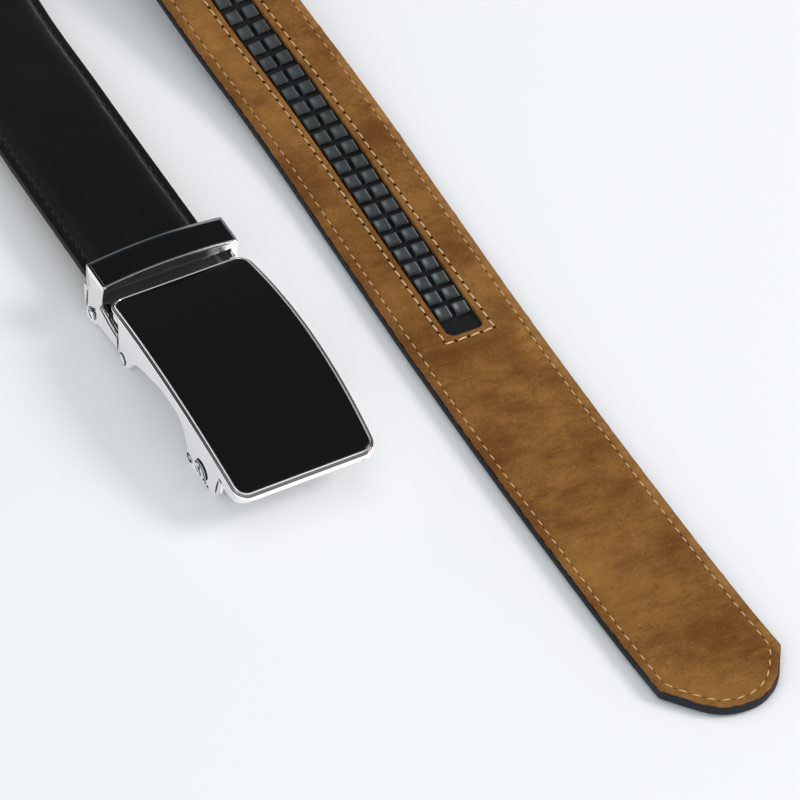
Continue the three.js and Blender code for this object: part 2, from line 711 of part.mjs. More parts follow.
// The jaw fills the clamp's underside behind the floor, and its flanges stand behind the ears.
function clampJaw() {
  const half = CLAMP_HALF_WIDTH - EAR_THICKNESS - FIT_GAP;
  const body = new THREE.Shape();
  body.moveTo(7.0, 7.1);
  body.lineTo(6.0, 4.6);
  body.absarc(JAW_AXIS.y, JAW_AXIS.z, 2.6, Math.PI * 0.9, Math.PI * 1.6, false);
  body.lineTo(12.6, 2.6);
  body.lineTo(12.6, 7.1);
  const flange = polygon([
    [12.6, 2.6], [12.7, 10.2], [12.5, 11.7], [10.6, 11.3], [10.25, 10.7],
    [11.75, 5.6], [11.9, 2.6],
  ]);
  const flangeRoot = polygon([[11.9, 2.6], [12.6, 2.6], [12.6, 7.1], [11.6, 7.1]]);
  const teeth = [8.4, 9.6, 10.8, 12.0].map((y) => (
    across(polygon([[y - 0.45, 6.9], [y + 0.45, 6.9], [y, 7.5]]), -half + 1.2, half - 1.2)
  ));
  let jaw = across(body, -half, half);
  for (const tooth of teeth) {
    jaw = jaw.add(tooth);
  }
  const inside = STRAP_WIDTH / 2 + FIT_GAP;
  jaw = jaw.add(bothSides((side) => across(flange, ...spanOn(side, inside, CLAMP_HALF_WIDTH))
    .add(across(flangeRoot, ...spanOn(side, half - 1, CLAMP_HALF_WIDTH)))));
  const bore = JAW_PIN_RADIUS + RUNNING_GAP;
  return jaw.subtract(bothSides((side) => drum(JAW_AXIS, bore, ...spanOn(side, 13, 24))));
}

// Pins and the pawl

// A screwdriver slot across a head whose outer face is at the given distance from the middle.
function screwSlot(side, axis, face, length) {
  return block(
    spanOn(side, face - 0.5, face + 2),
    [axis.y - 0.35, axis.y + 0.35],
    [axis.z - length, axis.z + length],
  );
}

function jawPin(side) {
  return drum(JAW_AXIS, JAW_PIN_RADIUS, ...spanOn(side, 13.6, 20.5))
    .add(drum(JAW_AXIS, 1.9, ...spanOn(side, 20.4, 21)))
    .subtract(screwSlot(side, JAW_AXIS, 21, 3));
}

function hingeRivet(side) {
  const face = cheekFace(HINGE_AXIS);
  return drum(HINGE_AXIS, RIVET_RADIUS, ...spanOn(side, 15, face - 0.3))
    .add(drum(HINGE_AXIS, 2.1, ...spanOn(side, face - 0.4, face + 0.1)));
}

function stopPin(side) {
  const [inner, outer] = [CHANNEL_HALF_WIDTH + 0.1, cheekFace(STOP_AXIS) - 0.1];
  return drum(STOP_AXIS, STOP_PIN_RADIUS, ...spanOn(side, inner, outer));
}

function pawlPin() {
  const face = cheekFace(PAWL_AXIS);
  const heads = bothSides((side) => drum(PAWL_AXIS, 2.6, ...spanOn(side, face - 0.6, face + 0.2))
    .subtract(screwSlot(side, PAWL_AXIS, face + 0.2, 4)));
  return drum(PAWL_AXIS, RIVET_RADIUS, -face + 0.3, face - 0.3).add(heads);
}

function ratchetPawl() {
  const half = CHANNEL_HALF_WIDTH - FIT_GAP;
  const blade = new THREE.Shape();
  blade.moveTo(-57.2, 2.2);
  blade.lineTo(-49.2, 7.6);
  blade.lineTo(-47.6, 10.4);
  blade.lineTo(-49.4, 10.3);
  blade.lineTo(-57.6, 6.8);
  blade.absarc(PAWL_AXIS.y, PAWL_AXIS.z, 2.8, 1.2, 2 * Math.PI - 1.0, false);
  const tab = polygon([[-60, 2.2], [-60, 5.0], [-65.6, 3.0], [-66.2, 1.6]]);
  return across(blade, -half, half)
    .add(across(tab, -9, 9))
    .subtract(drum(PAWL_AXIS, RIVET_RADIUS + RUNNING_GAP, -25, 25));
}

// The belt

const belt = new THREE.Group();

function addPiece(name, solid, material) {
  const mesh = new THREE.Mesh(toGeometry(solid), material);
  mesh.name = name;
  belt.add(mesh);
}

addPiece('strap_face', strapFace(), leather);
addPiece('strap_back', strapBack(), suede);
addPiece('ratchet_track', ratchetTrack(), track);
addPiece('clamp_housing', clampHousing(), chrome);
addPiece('clamp_inlay', clampInlay(), gloss);
addPiece('clamp_jaw', clampJaw(), chrome);
addPiece('buckle_frame', buckleFrame(), chrome);
addPiece('face_plate', facePlate(), gloss);
addPiece('ratchet_pawl', ratchetPawl(), chrome);
addPiece('pawl_pin', pawlPin(), chrome);
for (const [name, side] of [['left', -1], ['right', 1]]) {
  addPiece(`jaw_pin_${name}`, jawPin(side), chrome);
  addPiece(`hinge_rivet_${name}`, hingeRivet(side), chrome);
  addPiece(`stop_pin_${name}`, stopPin(side), chrome);
}

// The origin is under the middle of the whole belt, on the surface it lies on.
const bounds = new THREE.Box3().setFromObject(belt);
const middle = bounds.getCenter(new THREE.Vector3());
belt.position.set(-middle.x, -middle.y, -bounds.min.z);

const layout = new THREE.Group();
layout.add(belt);

export default layout;
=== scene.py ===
# %% [markdown]
# # A leather belt with an automatic buckle
#
# The belt lies folded in half, so that its two ends are side by side. The left end is face up:
# black leather with the chromed buckle. The right end is face down: suede lining with a slot, in
# which the ratchet track's teeth show, and the round tip.
#
# Shapes are numpy arrays in millimetres over parameter grids. The strap's own coordinates are
# u, the unrolled length from the clamped end; v, the distance from its middle line; and h, the
# height above the suede surface towards the black face.

import math

import bpy
import numpy as np
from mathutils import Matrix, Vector


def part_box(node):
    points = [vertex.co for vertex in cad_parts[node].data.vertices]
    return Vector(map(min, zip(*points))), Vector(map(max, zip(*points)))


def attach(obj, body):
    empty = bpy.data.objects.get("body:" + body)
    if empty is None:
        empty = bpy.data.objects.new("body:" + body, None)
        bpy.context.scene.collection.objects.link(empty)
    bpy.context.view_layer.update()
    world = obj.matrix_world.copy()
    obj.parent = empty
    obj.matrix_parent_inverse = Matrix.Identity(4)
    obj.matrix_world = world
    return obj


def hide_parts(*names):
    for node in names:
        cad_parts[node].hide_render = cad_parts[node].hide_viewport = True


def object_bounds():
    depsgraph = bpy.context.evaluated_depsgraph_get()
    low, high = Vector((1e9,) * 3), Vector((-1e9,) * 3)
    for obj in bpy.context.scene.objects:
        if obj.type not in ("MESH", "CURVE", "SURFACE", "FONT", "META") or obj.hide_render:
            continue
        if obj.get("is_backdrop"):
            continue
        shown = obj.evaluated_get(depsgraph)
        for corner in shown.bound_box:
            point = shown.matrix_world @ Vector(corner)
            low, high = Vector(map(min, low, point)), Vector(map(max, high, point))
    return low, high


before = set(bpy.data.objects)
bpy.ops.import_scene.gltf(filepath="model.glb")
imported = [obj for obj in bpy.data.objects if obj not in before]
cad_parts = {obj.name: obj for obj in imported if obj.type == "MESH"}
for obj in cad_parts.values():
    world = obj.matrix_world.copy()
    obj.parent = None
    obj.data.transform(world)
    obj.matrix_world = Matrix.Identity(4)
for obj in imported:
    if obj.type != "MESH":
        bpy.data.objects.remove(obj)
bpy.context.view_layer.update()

# %% [markdown]
# ## Where the layout lies in the row's frame
#
# The layout is drawn with the buckle's middle at x = 0 and the clamp's front edge at y = 0. The
# clamp and the buckle tell how far that is from the row's origin.

# %% Place of the layout
clamp_low, clamp_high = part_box("clamp_housing")
rim_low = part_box("buckle_frame")[0]
SHIFT = np.array([(clamp_low.x + clamp_high.x) * 500, rim_low.y * 1000 + 81.8, 0.0])
print("layout's origin in the row's frame, mm:", SHIFT.round(3))


def in_row(points):
    """Millimetres of the layout as metres in the row's frame: (p + SHIFT) / 1000."""
    return (np.asarray(points, float) + SHIFT) / 1000


def row_at(axis, *places):
    """The same for places along one axis, 0 for x and 1 for y."""
    return [float(at + SHIFT[axis]) / 1000 for at in places]


# %% [markdown]
# ## Meshes
#
# A grid of points makes most surfaces. Columns and rows may close on themselves, and single
# quads may be left out.


# %% Meshes from grids
def new_object(name, verts, faces, material, uv=None):
    """One smooth mesh object at the origin, with a UV given per vertex."""
    mesh = bpy.data.meshes.new(name)
    mesh.from_pydata(np.asarray(verts, np.float32), [], faces)
    mesh.polygons.foreach_set("use_smooth", [True] * len(mesh.polygons))
    if uv is not None:
        corner = np.empty(len(mesh.loops), np.int32)
        mesh.loops.foreach_get("vertex_index", corner)
        layer = mesh.uv_layers.new(name="UVMap")
        layer.data.foreach_set("uv", np.asarray(uv, np.float32)[corner].ravel())
    mesh.materials.append(material)
    made = bpy.data.objects.new(name, mesh)
    bpy.context.scene.collection.objects.link(made)
    return made


def paint(made, name, values):
    """A number per vertex, which a material can read by its name."""
    layer = made.data.attributes.new(name, "FLOAT", "POINT")
    layer.data.foreach_set("value", np.asarray(values, np.float32).ravel())


def quads(rows, columns, close_rows=False, close_columns=False, keep=None):
    """Corner indices of a grid's quads: (i, j), (i, j + 1), (i + 1, j + 1), (i + 1, j)."""
    i = np.arange(rows if close_rows else rows - 1)[:, None]
    j = np.arange(columns if close_columns else columns - 1)[None, :]
    near, far = i * columns, (i + 1) % rows * columns
    right = (j + 1) % columns
    faces = np.stack([near + j, near + right, far + right, far + j], -1)
    return faces[keep] if keep is not None else faces.reshape(-1, 4)


def repeated(cell, count, size, first=0):
    """A small grid's faces, once for each of count copies of its size points."""
    starts = first + np.arange(count) * size
    return (cell[None] + starts[:, None, None]).reshape(-1, 4)


def grid_object(name, points, material, uv=None, **options):
    """A grid of points (rows, columns, 3) in layout millimetres as one smooth object."""
    rows, columns = points.shape[:2]
    faces = quads(rows, columns, **options)
    flat = None if uv is None else uv.reshape(-1, 2)
    return new_object(name, in_row(points.reshape(-1, 3)), faces.tolist(), material, flat)


# %% [markdown]
# ## Lines and bells
#
# Seams, edges and marks follow lines of points and are placed by the length run along them.
# What swells or fades softly does so by a bell curve.


# %% Lines and bells
def arc_length(line):
    """Length from a line's first point to each of its points: the running sum of its steps."""
    return np.r_[0, np.cumsum(np.linalg.norm(np.diff(line, axis=0), axis=1))]


def on_line(line, lengths):
    """Points at given lengths from a line's start, on the straight steps between its points."""
    run = arc_length(line)
    return np.stack([np.interp(lengths, run, line[:, k]) for k in (0, 1)], -1)


def evenly(line, count):
    """A number of points along a line, all the same length apart."""
    return on_line(line, np.linspace(0, arc_length(line)[-1], count))


def bell(value, middle, width):
    """exp(-((value - middle) / width)^2): 1 in the middle, fading to 0 on both sides."""
    return np.exp(-(((value - middle) / width) ** 2))


# %% [markdown]
# ## Materials
#
# `Value` wraps a socket, so that shader sums are written as ordinary formulas. `Shader.node`
# adds any other node from its type, its settings and its inputs.


# %% Shader sums
class Value:
    """A number, colour or vector that comes out of a shader node."""

    def __init__(self, shader, socket):
        self.shader = shader
        self.socket = socket

    def _sum(self, operation, *others):
        kind = "VectorMath" if self.socket.type == "VECTOR" else "Math"
        return self.shader.node(kind, {"operation": operation}, [self, *others])

    def __add__(self, other):
        return self._sum("ADD", other)

    def __radd__(self, other):
        return self._sum("ADD", other)

    def __sub__(self, other):
        return self._sum("SUBTRACT", other)

    def __rsub__(self, other):
        return self._sum("MULTIPLY", -1.0)._sum("ADD", other)

    def __mul__(self, other):
        return self._sum("MULTIPLY", other)

    def __rmul__(self, other):
        return self._sum("MULTIPLY", other)

    def between(self, low, high, to_low=0.0, to_high=1.0):
        """Smooth step from to_low where the value is low to to_high where it is high."""
        settings = {"interpolation_type": "SMOOTHSTEP"}
        return self.shader.node("MapRange", settings, [self, low, high, to_low, to_high])

    def band(self, start, full, fade, end):
        """Rises from 0 at start to 1 at full, and falls from fade to 0 at end."""
        return self.between(start, full) * self.between(fade, end, 1.0, 0.0)


class Shader:
    """The nodes of one material, or of the world."""

    def __init__(self, name, owners=None):
        owners = bpy.data.materials if owners is None else owners
        self.material = owners.new(name)
        self.material.use_nodes = True
        self.tree = self.material.node_tree
        self.tree.nodes.clear()

    def node(self, kind, settings=(), inputs=(), output=0):
        """Adds a node; inputs are numbers, tuples or Values, by place or by name."""
        made = self.tree.nodes.new("ShaderNode" + kind)
        for key, value in dict(settings).items():
            setattr(made, key, value)
        pairs = inputs.items() if isinstance(inputs, dict) else enumerate(inputs)
        for key, value in pairs:
            if isinstance(value, Value):
                self.tree.links.new(value.socket, made.inputs[key])
            else:
                made.inputs[key].default_value = value
        return Value(self, made.outputs[output]) if made.outputs else None

    def place(self, uv=False):
        """Where the point is: in metres, or the mesh's own UV."""
        return self.node("UVMap") if uv else self.node("TexCoord", output=3)

    def painted(self, name):
        """A number painted on the vertices, 0 where there is none."""
        return self.node("Attribute", {"attribute_name": name}, output=2)

    def scaled(self, vector, x, y, z):
        """The vector times (x, y, z), part by part."""
        return self.node("VectorMath", {"operation": "MULTIPLY"}, [vector, (x, y, z)])

    def noise(self, vector, scale, detail=2.0, roughness=0.5, distortion=0.0):
        """Smooth noise about 0.5, with features 1 / scale apart."""
        inputs = {
            "Vector": vector,
            "Scale": scale,
            "Detail": detail,
            "Roughness": roughness,
            "Distortion": distortion,
        }
        return self.node("TexNoise", {"noise_dimensions": "3D"}, inputs)

    def mix(self, factor, low, high):
        """The colour low where factor is 0 and high where it is 1."""
        low, high = (c if isinstance(c, Value) else (*c, 1.0) for c in (low, high))
        inputs = {0: factor, 6: low, 7: high}
        return self.node("Mix", {"data_type": "RGBA"}, inputs, output=2)

    def parts(self, vector):
        """The x, y and z of a vector."""
        return [self.node("SeparateXYZ", inputs=[vector], output=k) for k in range(3)]

    def bump(self, height, distance, strength=1.0):
        """Normals tilted by a height of 0 to 1 times distance in metres."""
        return self.node("Bump", inputs={"Height": height, "Distance": distance, "Strength": strength})

    def surface(self, **sockets):
        """The Principled surface, with underscores for the spaces in its sockets' names."""
        names = {key.replace("_", " "): value for key, value in sockets.items()}
        inputs = {
            key: (*value, 1.0) if isinstance(value, tuple) and len(value) == 3 else value
            for key, value in names.items()
        }
        made = self.node("BsdfPrincipled", inputs=inputs)
        self.node("OutputMaterial", inputs={"Surface": made})
        return self.material


# %% [markdown]
# ### Leather and suede
#
# The strap's meshes carry (u, v) in tenths of a metre as their UV, so that grain and mottling
# follow the strap round its bends.


# %% Strap materials
def suede_material():
    """Tan nap: soft clouds of tone and strokes of raised hair. Paler and darker parts are painted on
    the mesh: nap rubbed pale, and painted shade in a crease."""
    s = Shader("suede_nap")
    p = s.place(uv=True)
    broad = s.noise(p, 5.0, 2.0, 0.5)
    cloud = s.noise(s.scaled(p, 27.0, 14.0, 1.0), 1.0, 3.0, 0.6, 0.6)
    strokes = s.noise(s.scaled(p, 115.0, 55.0, 1.0), 1.0, 3.0, 0.65, 2.2)
    fine = s.noise(s.scaled(p, 170.0, 130.0, 1.0), 1.0, 2.0, 0.6, 1.2)
    # The painted nap tone: paler where the nap is rubbed, and painted shade in a crease.
    nap_tone_and_shade = s.painted("nap_tone_and_shade") * (cloud * 1.5 + strokes * 0.5)
    tone = broad * 0.95 + cloud * 0.60 + strokes * 0.45 - 0.50 + nap_tone_and_shade * 0.42
    base = s.mix(tone.between(0.15, 0.9), (0.142, 0.054, 0.0125), (0.315, 0.148, 0.038))
    base = s.mix(nap_tone_and_shade.between(0.1, 1.0, 0.0, 0.55), base, (0.46, 0.25, 0.085))
    pale = strokes.between(0.56, 0.74) * fine.between(0.45, 0.65)
    base = s.mix(pale * 0.72, base, (0.47, 0.27, 0.095))
    dark = strokes.between(0.44, 0.30) * fine.between(0.6, 0.4)
    base = s.mix(dark * 0.68, base, (0.10, 0.034, 0.0075))
    return s.surface(
        Base_Color=base,
        Roughness=0.95,
        Specular_IOR_Level=0.06,
        Sheen_Weight=0.03,
        Sheen_Roughness=0.6,
        Sheen_Tint=(0.9, 0.7, 0.5),
        Normal=s.bump(strokes * 0.6 + fine * 0.4, 0.00022, 0.6),
    )


def face_leather_material():
    """Black finished leather: fine grain, faint broad unevenness in its gloss, and a painted
    highlight along the ridge beside the seam, which is painted on the mesh as a lighter colour."""
    s = Shader("face_leather_black")
    p = s.place(uv=True)
    cells = s.node("TexVoronoi", {"feature": "SMOOTH_F1"}, {"Vector": p, "Scale": 210.0})
    grain = s.noise(p, 420.0, 2.0, 0.6)
    broad = s.noise(p, 9.0, 2.0)
    height = cells * 0.7 + grain * 0.3
    base = s.mix(broad.between(0.3, 0.7), (0.0036, 0.0031, 0.0033), (0.0049, 0.0043, 0.0045))
    base = s.mix(s.painted("ridge_highlight") * (grain * 0.5 + 0.75), base, (0.050, 0.047, 0.052))
    return s.surface(
        Base_Color=base,
        Roughness=(broad * 0.10 + grain * 0.06 + 0.30),
        Specular_IOR_Level=0.20,
        Normal=s.bump(height, 0.00005, 0.35),
    )


def edge_paint_material():
    """Black edge paint: glossy, a little wavy, with dull patches, and a painted highlight that
    makes it lighter towards the nose.
    """
    s = Shader("edge_paint_black")
    p = s.place(uv=True)
    wave = s.noise(s.scaled(p, 26.0, 90.0, 1.0), 1.0, 3.0)
    pits = s.noise(p, 300.0, 2.0)
    # Painted highlight: the edge paint turns lighter towards the nose.
    nose, straight = row_at(1, -186.0, -160.0)
    nose_highlight = s.parts(s.place())[1].between(nose, straight, 0.85, 0.0)
    base = s.mix(wave.between(0.3, 0.7), (0.0050, 0.0062, 0.0076), (0.0105, 0.0125, 0.0150))
    return s.surface(
        Base_Color=s.mix(nose_highlight, base, (0.024, 0.027, 0.031)),
        Roughness=(wave * 0.25 + pits * 0.1 + 0.35),
        Specular_IOR_Level=0.05,
        Normal=s.bump(wave * 0.8 + pits * 0.2, 0.00016, 0.5),
    )


def thread_material(name, dark, pale):
    """Twisted thread: two plies wind round its axis, and the fibres differ a little in tone."""
    s = Shader(name)
    p = s.place(uv=True)
    twist = s.node("TexWave", {"bands_direction": "DIAGONAL"}, {"Vector": p, "Scale": 1.0})
    fibre = s.noise(s.place(), 5200.0, 2.0)
    tone = (twist * 0.6 + fibre * 0.4).between(0.15, 0.85)
    # Painted shade: the thread turns darker along y, from -46 to 70 mm in the layout.
    shade_start, shade_full = row_at(1, -46.0, 70.0)
    thread_shade = s.parts(s.place())[1].between(shade_start, shade_full) * 0.55
    return s.surface(
        Base_Color=s.mix(thread_shade, s.mix(tone, dark, pale), dark),
        Roughness=0.6,
        Specular_IOR_Level=0.35,
        Sheen_Weight=0.2,
        Normal=s.bump(twist, 0.00008, 0.6),
    )


def hole_material():
    """A needle hole's painted shade: dark in the middle, fading out at its rim."""
    s = Shader("needle_hole")
    p = s.place(uv=True)
    away = s.node("VectorMath", {"operation": "LENGTH"}, [p], output=1)
    rough = s.noise(s.place(), 2600.0, 1.0)
    fade = (away + rough * 0.5).between(0.65, 1.15, 1.0, 0.0)
    return s.surface(
        Base_Color=s.mix(rough.between(0.3, 0.7), (0.022, 0.009, 0.004), (0.050, 0.020, 0.007)),
        Roughness=1.0,
        Specular_IOR_Level=0.0,
        Alpha=fade,
    )


suede = suede_material()
face_leather = face_leather_material()
edge_paint = edge_paint_material()
cream_thread = thread_material("thread_cream", (0.49, 0.265, 0.095), (0.94, 0.69, 0.385))
black_thread = thread_material("thread_black", (0.005, 0.005, 0.006), (0.014, 0.014, 0.016))
needle_hole = hole_material()
strap_materials = (suede, face_leather, edge_paint, cream_thread, black_thread, needle_hole)
print("strap materials:", ", ".join(material.name for material in strap_materials))

# %% [markdown]
# ### Metal and plastic
#
# One recipe makes most of the plating, and a mask says where painted shade darkens it: in
# grooves and gaps, and on walls that face the dim side of the room. The clamp's front wall and
# shelf have their own, painted with shade and reflections.


# %% Hard materials
def chrome_material(name, dark=None, rough=0.05):
    """Polished plating: a slightly uneven gloss and a very shallow waviness. dark, a function
    of the shader, gives a mask of 0 to 1 where painted shade darkens the plating."""
    s = Shader(name)
    p = s.place()
    haze = s.noise(p, 160.0, 3.0)
    wave = s.noise(p, 55.0, 1.0)
    scuff = s.noise(s.scaled(p, 900.0, 5200.0, 900.0), 1.0, 2.0)
    base = s.mix(haze, (0.835, 0.815, 0.810), (0.905, 0.885, 0.875))
    # Painted shade: where the mask is 1, the plating takes a near-black colour.
    if dark:
        base = s.mix(dark(s), base, (0.018, 0.020, 0.021))
    return s.surface(
        Base_Color=base,
        Metallic=1.0,
        Roughness=(haze * 0.08 + scuff.between(0.55, 0.8) * 0.05 + rough),
        Normal=s.bump(wave, 0.00004, 0.35),
    )


def left_wall_mask(s):
    """A part of 1 on the left walls, which face the dim side of the room, and none further
    right."""
    wall, right = row_at(0, -19.6, -13.0)
    return s.parts(s.place())[0].between(wall, right, 0.23, 0.0)


def groove_mask(s):
    """Painted shade in the two narrow grooves between the rim's outer edge and its lip, by the
    inset. It fades towards the front and the rear, and at the front the lip is painted dark as well."""
    inset = s.parts(s.place(uv=True))[1]
    grooves = inset.band(0.17, 0.27, 0.76, 0.80)
    ridge = inset.band(0.49, 0.55, 0.59, 0.65)
    y = s.parts(s.place())[1]
    front_edge, front, middle, rear, rear_edge = row_at(1, -79.7, -78.6, -52.0, -16.0, -6.0)
    at_front = y.between(front_edge, front, 1.0, 0.0)
    along = y.between(front, middle, 0.5, 1.0) * y.between(rear, rear_edge, 1.0, 0.72)
    grooves = grooves * (1.0 - ridge * 0.5) * (along + at_front * 0.5) * 0.78
    return grooves + inset.between(0.82, 0.86) * at_front * 0.88


def bar_groove_mask(s):
    """Painted shade: 1 in the groove between the clamp's trim and its inlay; towards the left the
    groove is wider and the trim painted darker. The left end is painted dark, but for a line along
    the inlay."""
    inset = s.parts(s.place(uv=True))[1]
    x = s.parts(s.place())[0]
    start, end = row_at(0, 1.0, 15.0)
    right = x.between(start, end)
    groove = (inset - right * 0.34).between(0.36, 0.44)
    dim = right.between(0.0, 1.0, 0.60, 0.0)
    start, end = row_at(0, -19.34, -19.2)
    left = x.between(start, end, 1.0, 0.0)
    line = inset.between(0.62, 0.66) * 0.34
    dark = (inset.between(0.04, 0.10) - line) * 0.97
    return (groove * (0.93 - dim) + dim) * (1.0 - left) + dark * left


def arm_mask(s):
    """Painted shade on the arms, on their upper edges and the faces between them, but for a bright
    line beside the outer face; elsewhere what left_wall_mask gives. In metres."""
    x, y, z = s.parts(s.place())
    across = s.node("Math", {"operation": "ABSOLUTE"}, [x - row_at(0, 0.0)[0]])
    line = across.band(0.0192, 0.0193, 0.0196, 0.0197)
    within = across.between(0.01999, 0.02001, 1.0, 0.0) * (1.0 - line)
    rear, front = row_at(1, 0.9, -7.5)
    length = y.between(rear - 1e-4, rear, 1.0, 0.0) * y.between(front - 1e-4, front)
    height = z.band(0.0050, 0.0056, 0.0130, 0.0131)
    edges = within * length * height * 0.975
    return edges + left_wall_mask(s) * (1.0 - edges)


def gloss_material():
    """Black gloss insert: deep, even, with a faint haze of dust and handling."""
    s = Shader("black_insert")
    p = s.place()
    haze = s.noise(p, 70.0, 3.0)
    dust = s.noise(p, 2600.0, 1.0)
    return s.surface(
        Base_Color=s.mix(dust.between(0.62, 0.85, 0.0, 0.5), (0.0056, 0.0064, 0.0068), (0.013, 0.014, 0.014)),
        Roughness=(haze * 0.08 + 0.10),
        Specular_IOR_Level=0.10,
        Normal=s.bump(haze, 0.00004, 0.2),
    )


def shelf_material():
    """The shelf inside the clamp: painted dark for the shade it lies in, with a few painted blurred
    reflections towards its right end. The UV is the place across and along, in millimetres."""
    s = Shader("shelf_shade_and_reflections")
    x, y, _ = s.parts(s.place(uv=True))
    haze = s.noise(s.place(), 400.0, 2.0)
    blob = x.band(11.0, 12.2, 13.6, 14.0) * y.between(4.4, 5.4)
    stripe = x.band(14.6, 15.2, 15.8, 16.6)
    dark = x.band(13.9, 14.2, 14.5, 14.9)
    base = s.mix(haze.between(0.3, 0.7), (0.024, 0.024, 0.025), (0.033, 0.033, 0.034))
    base = s.mix(x.between(15.5, 17.5, 0.0, 0.6), base, (0.075, 0.080, 0.070))
    base = s.mix(stripe * 0.8, base, (0.15, 0.15, 0.15))
    base = s.mix(dark * 0.8, base, (0.02, 0.02, 0.02))
    base = s.mix(blob * 0.9, base, (0.75, 0.75, 0.75))
    return s.surface(Base_Color=base, Metallic=0.0, Roughness=(haze * 0.2 + 0.35), Specular_IOR_Level=0.5)


def front_material():
    """The clamp's front wall, with a painted reflection of the dark buckle: dark, less so towards
    its right end.
    """
    s = Shader("front_painted_reflection")
    x = s.parts(s.place())[0]
    start, end = row_at(0, 10.0, 16.0)
    dark = x.between(start, end, 1.0, 0.0)
    haze = s.noise(s.place(), 300.0, 2.0)
    tone = s.mix(haze.between(0.3, 0.7), (0.026, 0.026, 0.027), (0.034, 0.034, 0.035))
    return s.surface(
        Base_Color=s.mix(dark, (0.88, 0.88, 0.88), tone),
        Metallic=1.0 - dark,
        Roughness=(haze * 0.1 + 0.12),
        Specular_IOR_Level=0.2,
    )


def gap_material():
    """Painted shade of a deep gap between two metal parts."""
    s = Shader("gap_dark")
    gap_speckle = s.noise(s.place(), 1500.0, 2.0)
    return s.surface(
        Base_Color=s.mix(gap_speckle.between(0.3, 0.7), (0.008, 0.008, 0.008), (0.022, 0.022, 0.023)),
        Roughness=(gap_speckle * 0.2 + 0.5),
        Specular_IOR_Level=0.1,
    )


def track_material():
    """Moulded black plastic with a soft orange-peel skin. The pads' tops are polished; their
    highlights and reflections are painted on the mesh as a lighter colour."""
    s = Shader("track_plastic")
    p = s.place()
    skin = s.noise(p, 900.0, 2.0)
    tone = s.noise(p, 160.0, 3.0)
    pad_highlight = s.painted("pad_highlight")
    base = s.mix(tone.between(0.35, 0.65), (0.0050, 0.0058, 0.0060), (0.0085, 0.0095, 0.0100))
    base = s.mix(pad_highlight * (tone * 0.6 + 0.7), base, (0.47, 0.55, 0.56))
    return s.surface(
        Base_Color=base,
        Roughness=(tone * 0.16 + skin * 0.06 + 0.2),
        Specular_IOR_Level=0.45,
        Normal=s.bump(skin, 0.00005, 0.35),
    )


chrome = chrome_material("chrome_plate", left_wall_mask)
cast_chrome = chrome_material("chrome_cast", rough=0.22)
rim_chrome = chrome_material("chrome_rim", groove_mask)
clamp_chrome = chrome_material("chrome_clamp", arm_mask)
bar_chrome = chrome_material("chrome_bar", bar_groove_mask)
front_painted_reflection = front_material()
shelf_painted = shelf_material()
shadow_gap = gap_material()
gloss = gloss_material()
track_plastic = track_material()
print(len(bpy.data.materials), "materials, the CAD's own among them")

# %% [markdown]
# ## The strap's course
#
# In side view the strap turns by a given angle over each stretch, eased in and out. Its place
# is the running sum of its direction. From above it drifts sideways through a row of points,
# which are given by their u, and near the tip by their distance from it.
#
# HALF is half the strap's width, PADDED its full thickness and LINING the lining's. END_Y and
# END_Z are the place of its clamped end.

# %% Course of the strap
HALF = 35.6 / 2
PADDED = 3.9
LINING = 1.3
END_Y = 3.8
END_Z = 7.8
STEP = 0.5
DESCENT = math.radians(14)
CURL, SETTLE = 184, 160


def ease(t):
    """Smooth step 3 t^2 - 2 t^3 of t held between 0 and 1."""
    t = np.clip(t, 0, 1)
    return t * t * (3 - 2 * t)


def climb(length, start, turn):
    """Height gained over one stretch: the mean sine of its direction times its length."""
    t = (np.arange(400) + 0.5) / 400
    return np.sin(start + turn * ease(t)).mean() * length


up = climb(CURL, 0.0, math.pi + DESCENT) + climb(SETTLE, math.pi + DESCENT, -DESCENT)
TURNS = [
    ("held level in the clamp", 14, 0.0),
    ("sags", 100, -END_Z / 100),
    ("levels out", 100, END_Z / 100),
    ("lies flat, face up", 151.5, 0.0),
    ("curls up and over", CURL, math.pi + DESCENT),
    ("comes down", (up - PADDED) / math.sin(DESCENT), 0.0),
    ("meets the table", SETTLE, -DESCENT),
    ("lies flat, face down", 185.5, 0.0),
]
LENGTH = sum(length for _, length, _ in TURNS)
STARTS = np.cumsum([0] + [length for _, length, _ in TURNS])[:-1]


def direction(u):
    """Angle of the strap above the table at u: the sum of the stretches' eased turns."""
    return sum(turn * ease((u - at) / length) for (_, length, turn), at in zip(TURNS, STARTS))


course_u = np.arange(0, LENGTH + STEP, STEP)
course_angle = direction(course_u[:-1] + STEP / 2)
course_y = END_Y + np.concatenate([[0], np.cumsum(STEP * np.cos(course_angle))])
course_z = END_Z + np.concatenate([[0], np.cumsum(STEP * np.sin(course_angle))])
DRIFT_BY_START = [(0, 0), (50, 0), (80, 0.6), (120, 2.0), (390, 24), (545, 41)]
DRIFT_BY_TIP = [
    (394.5, 58.5), (317.5, 64.1), (286.5, 66.0), (256.5, 67.8), (230.5, 68.2), (196.5, 67.3),
    (151.5, 65.9), (103.5, 65.2), (58.5, 65.2), (31.5, 65.6), (13.5, 66.4), (0, 67.5),
]
DRIFT = np.array(DRIFT_BY_START + [(LENGTH - from_tip, x) for from_tip, x in DRIFT_BY_TIP])


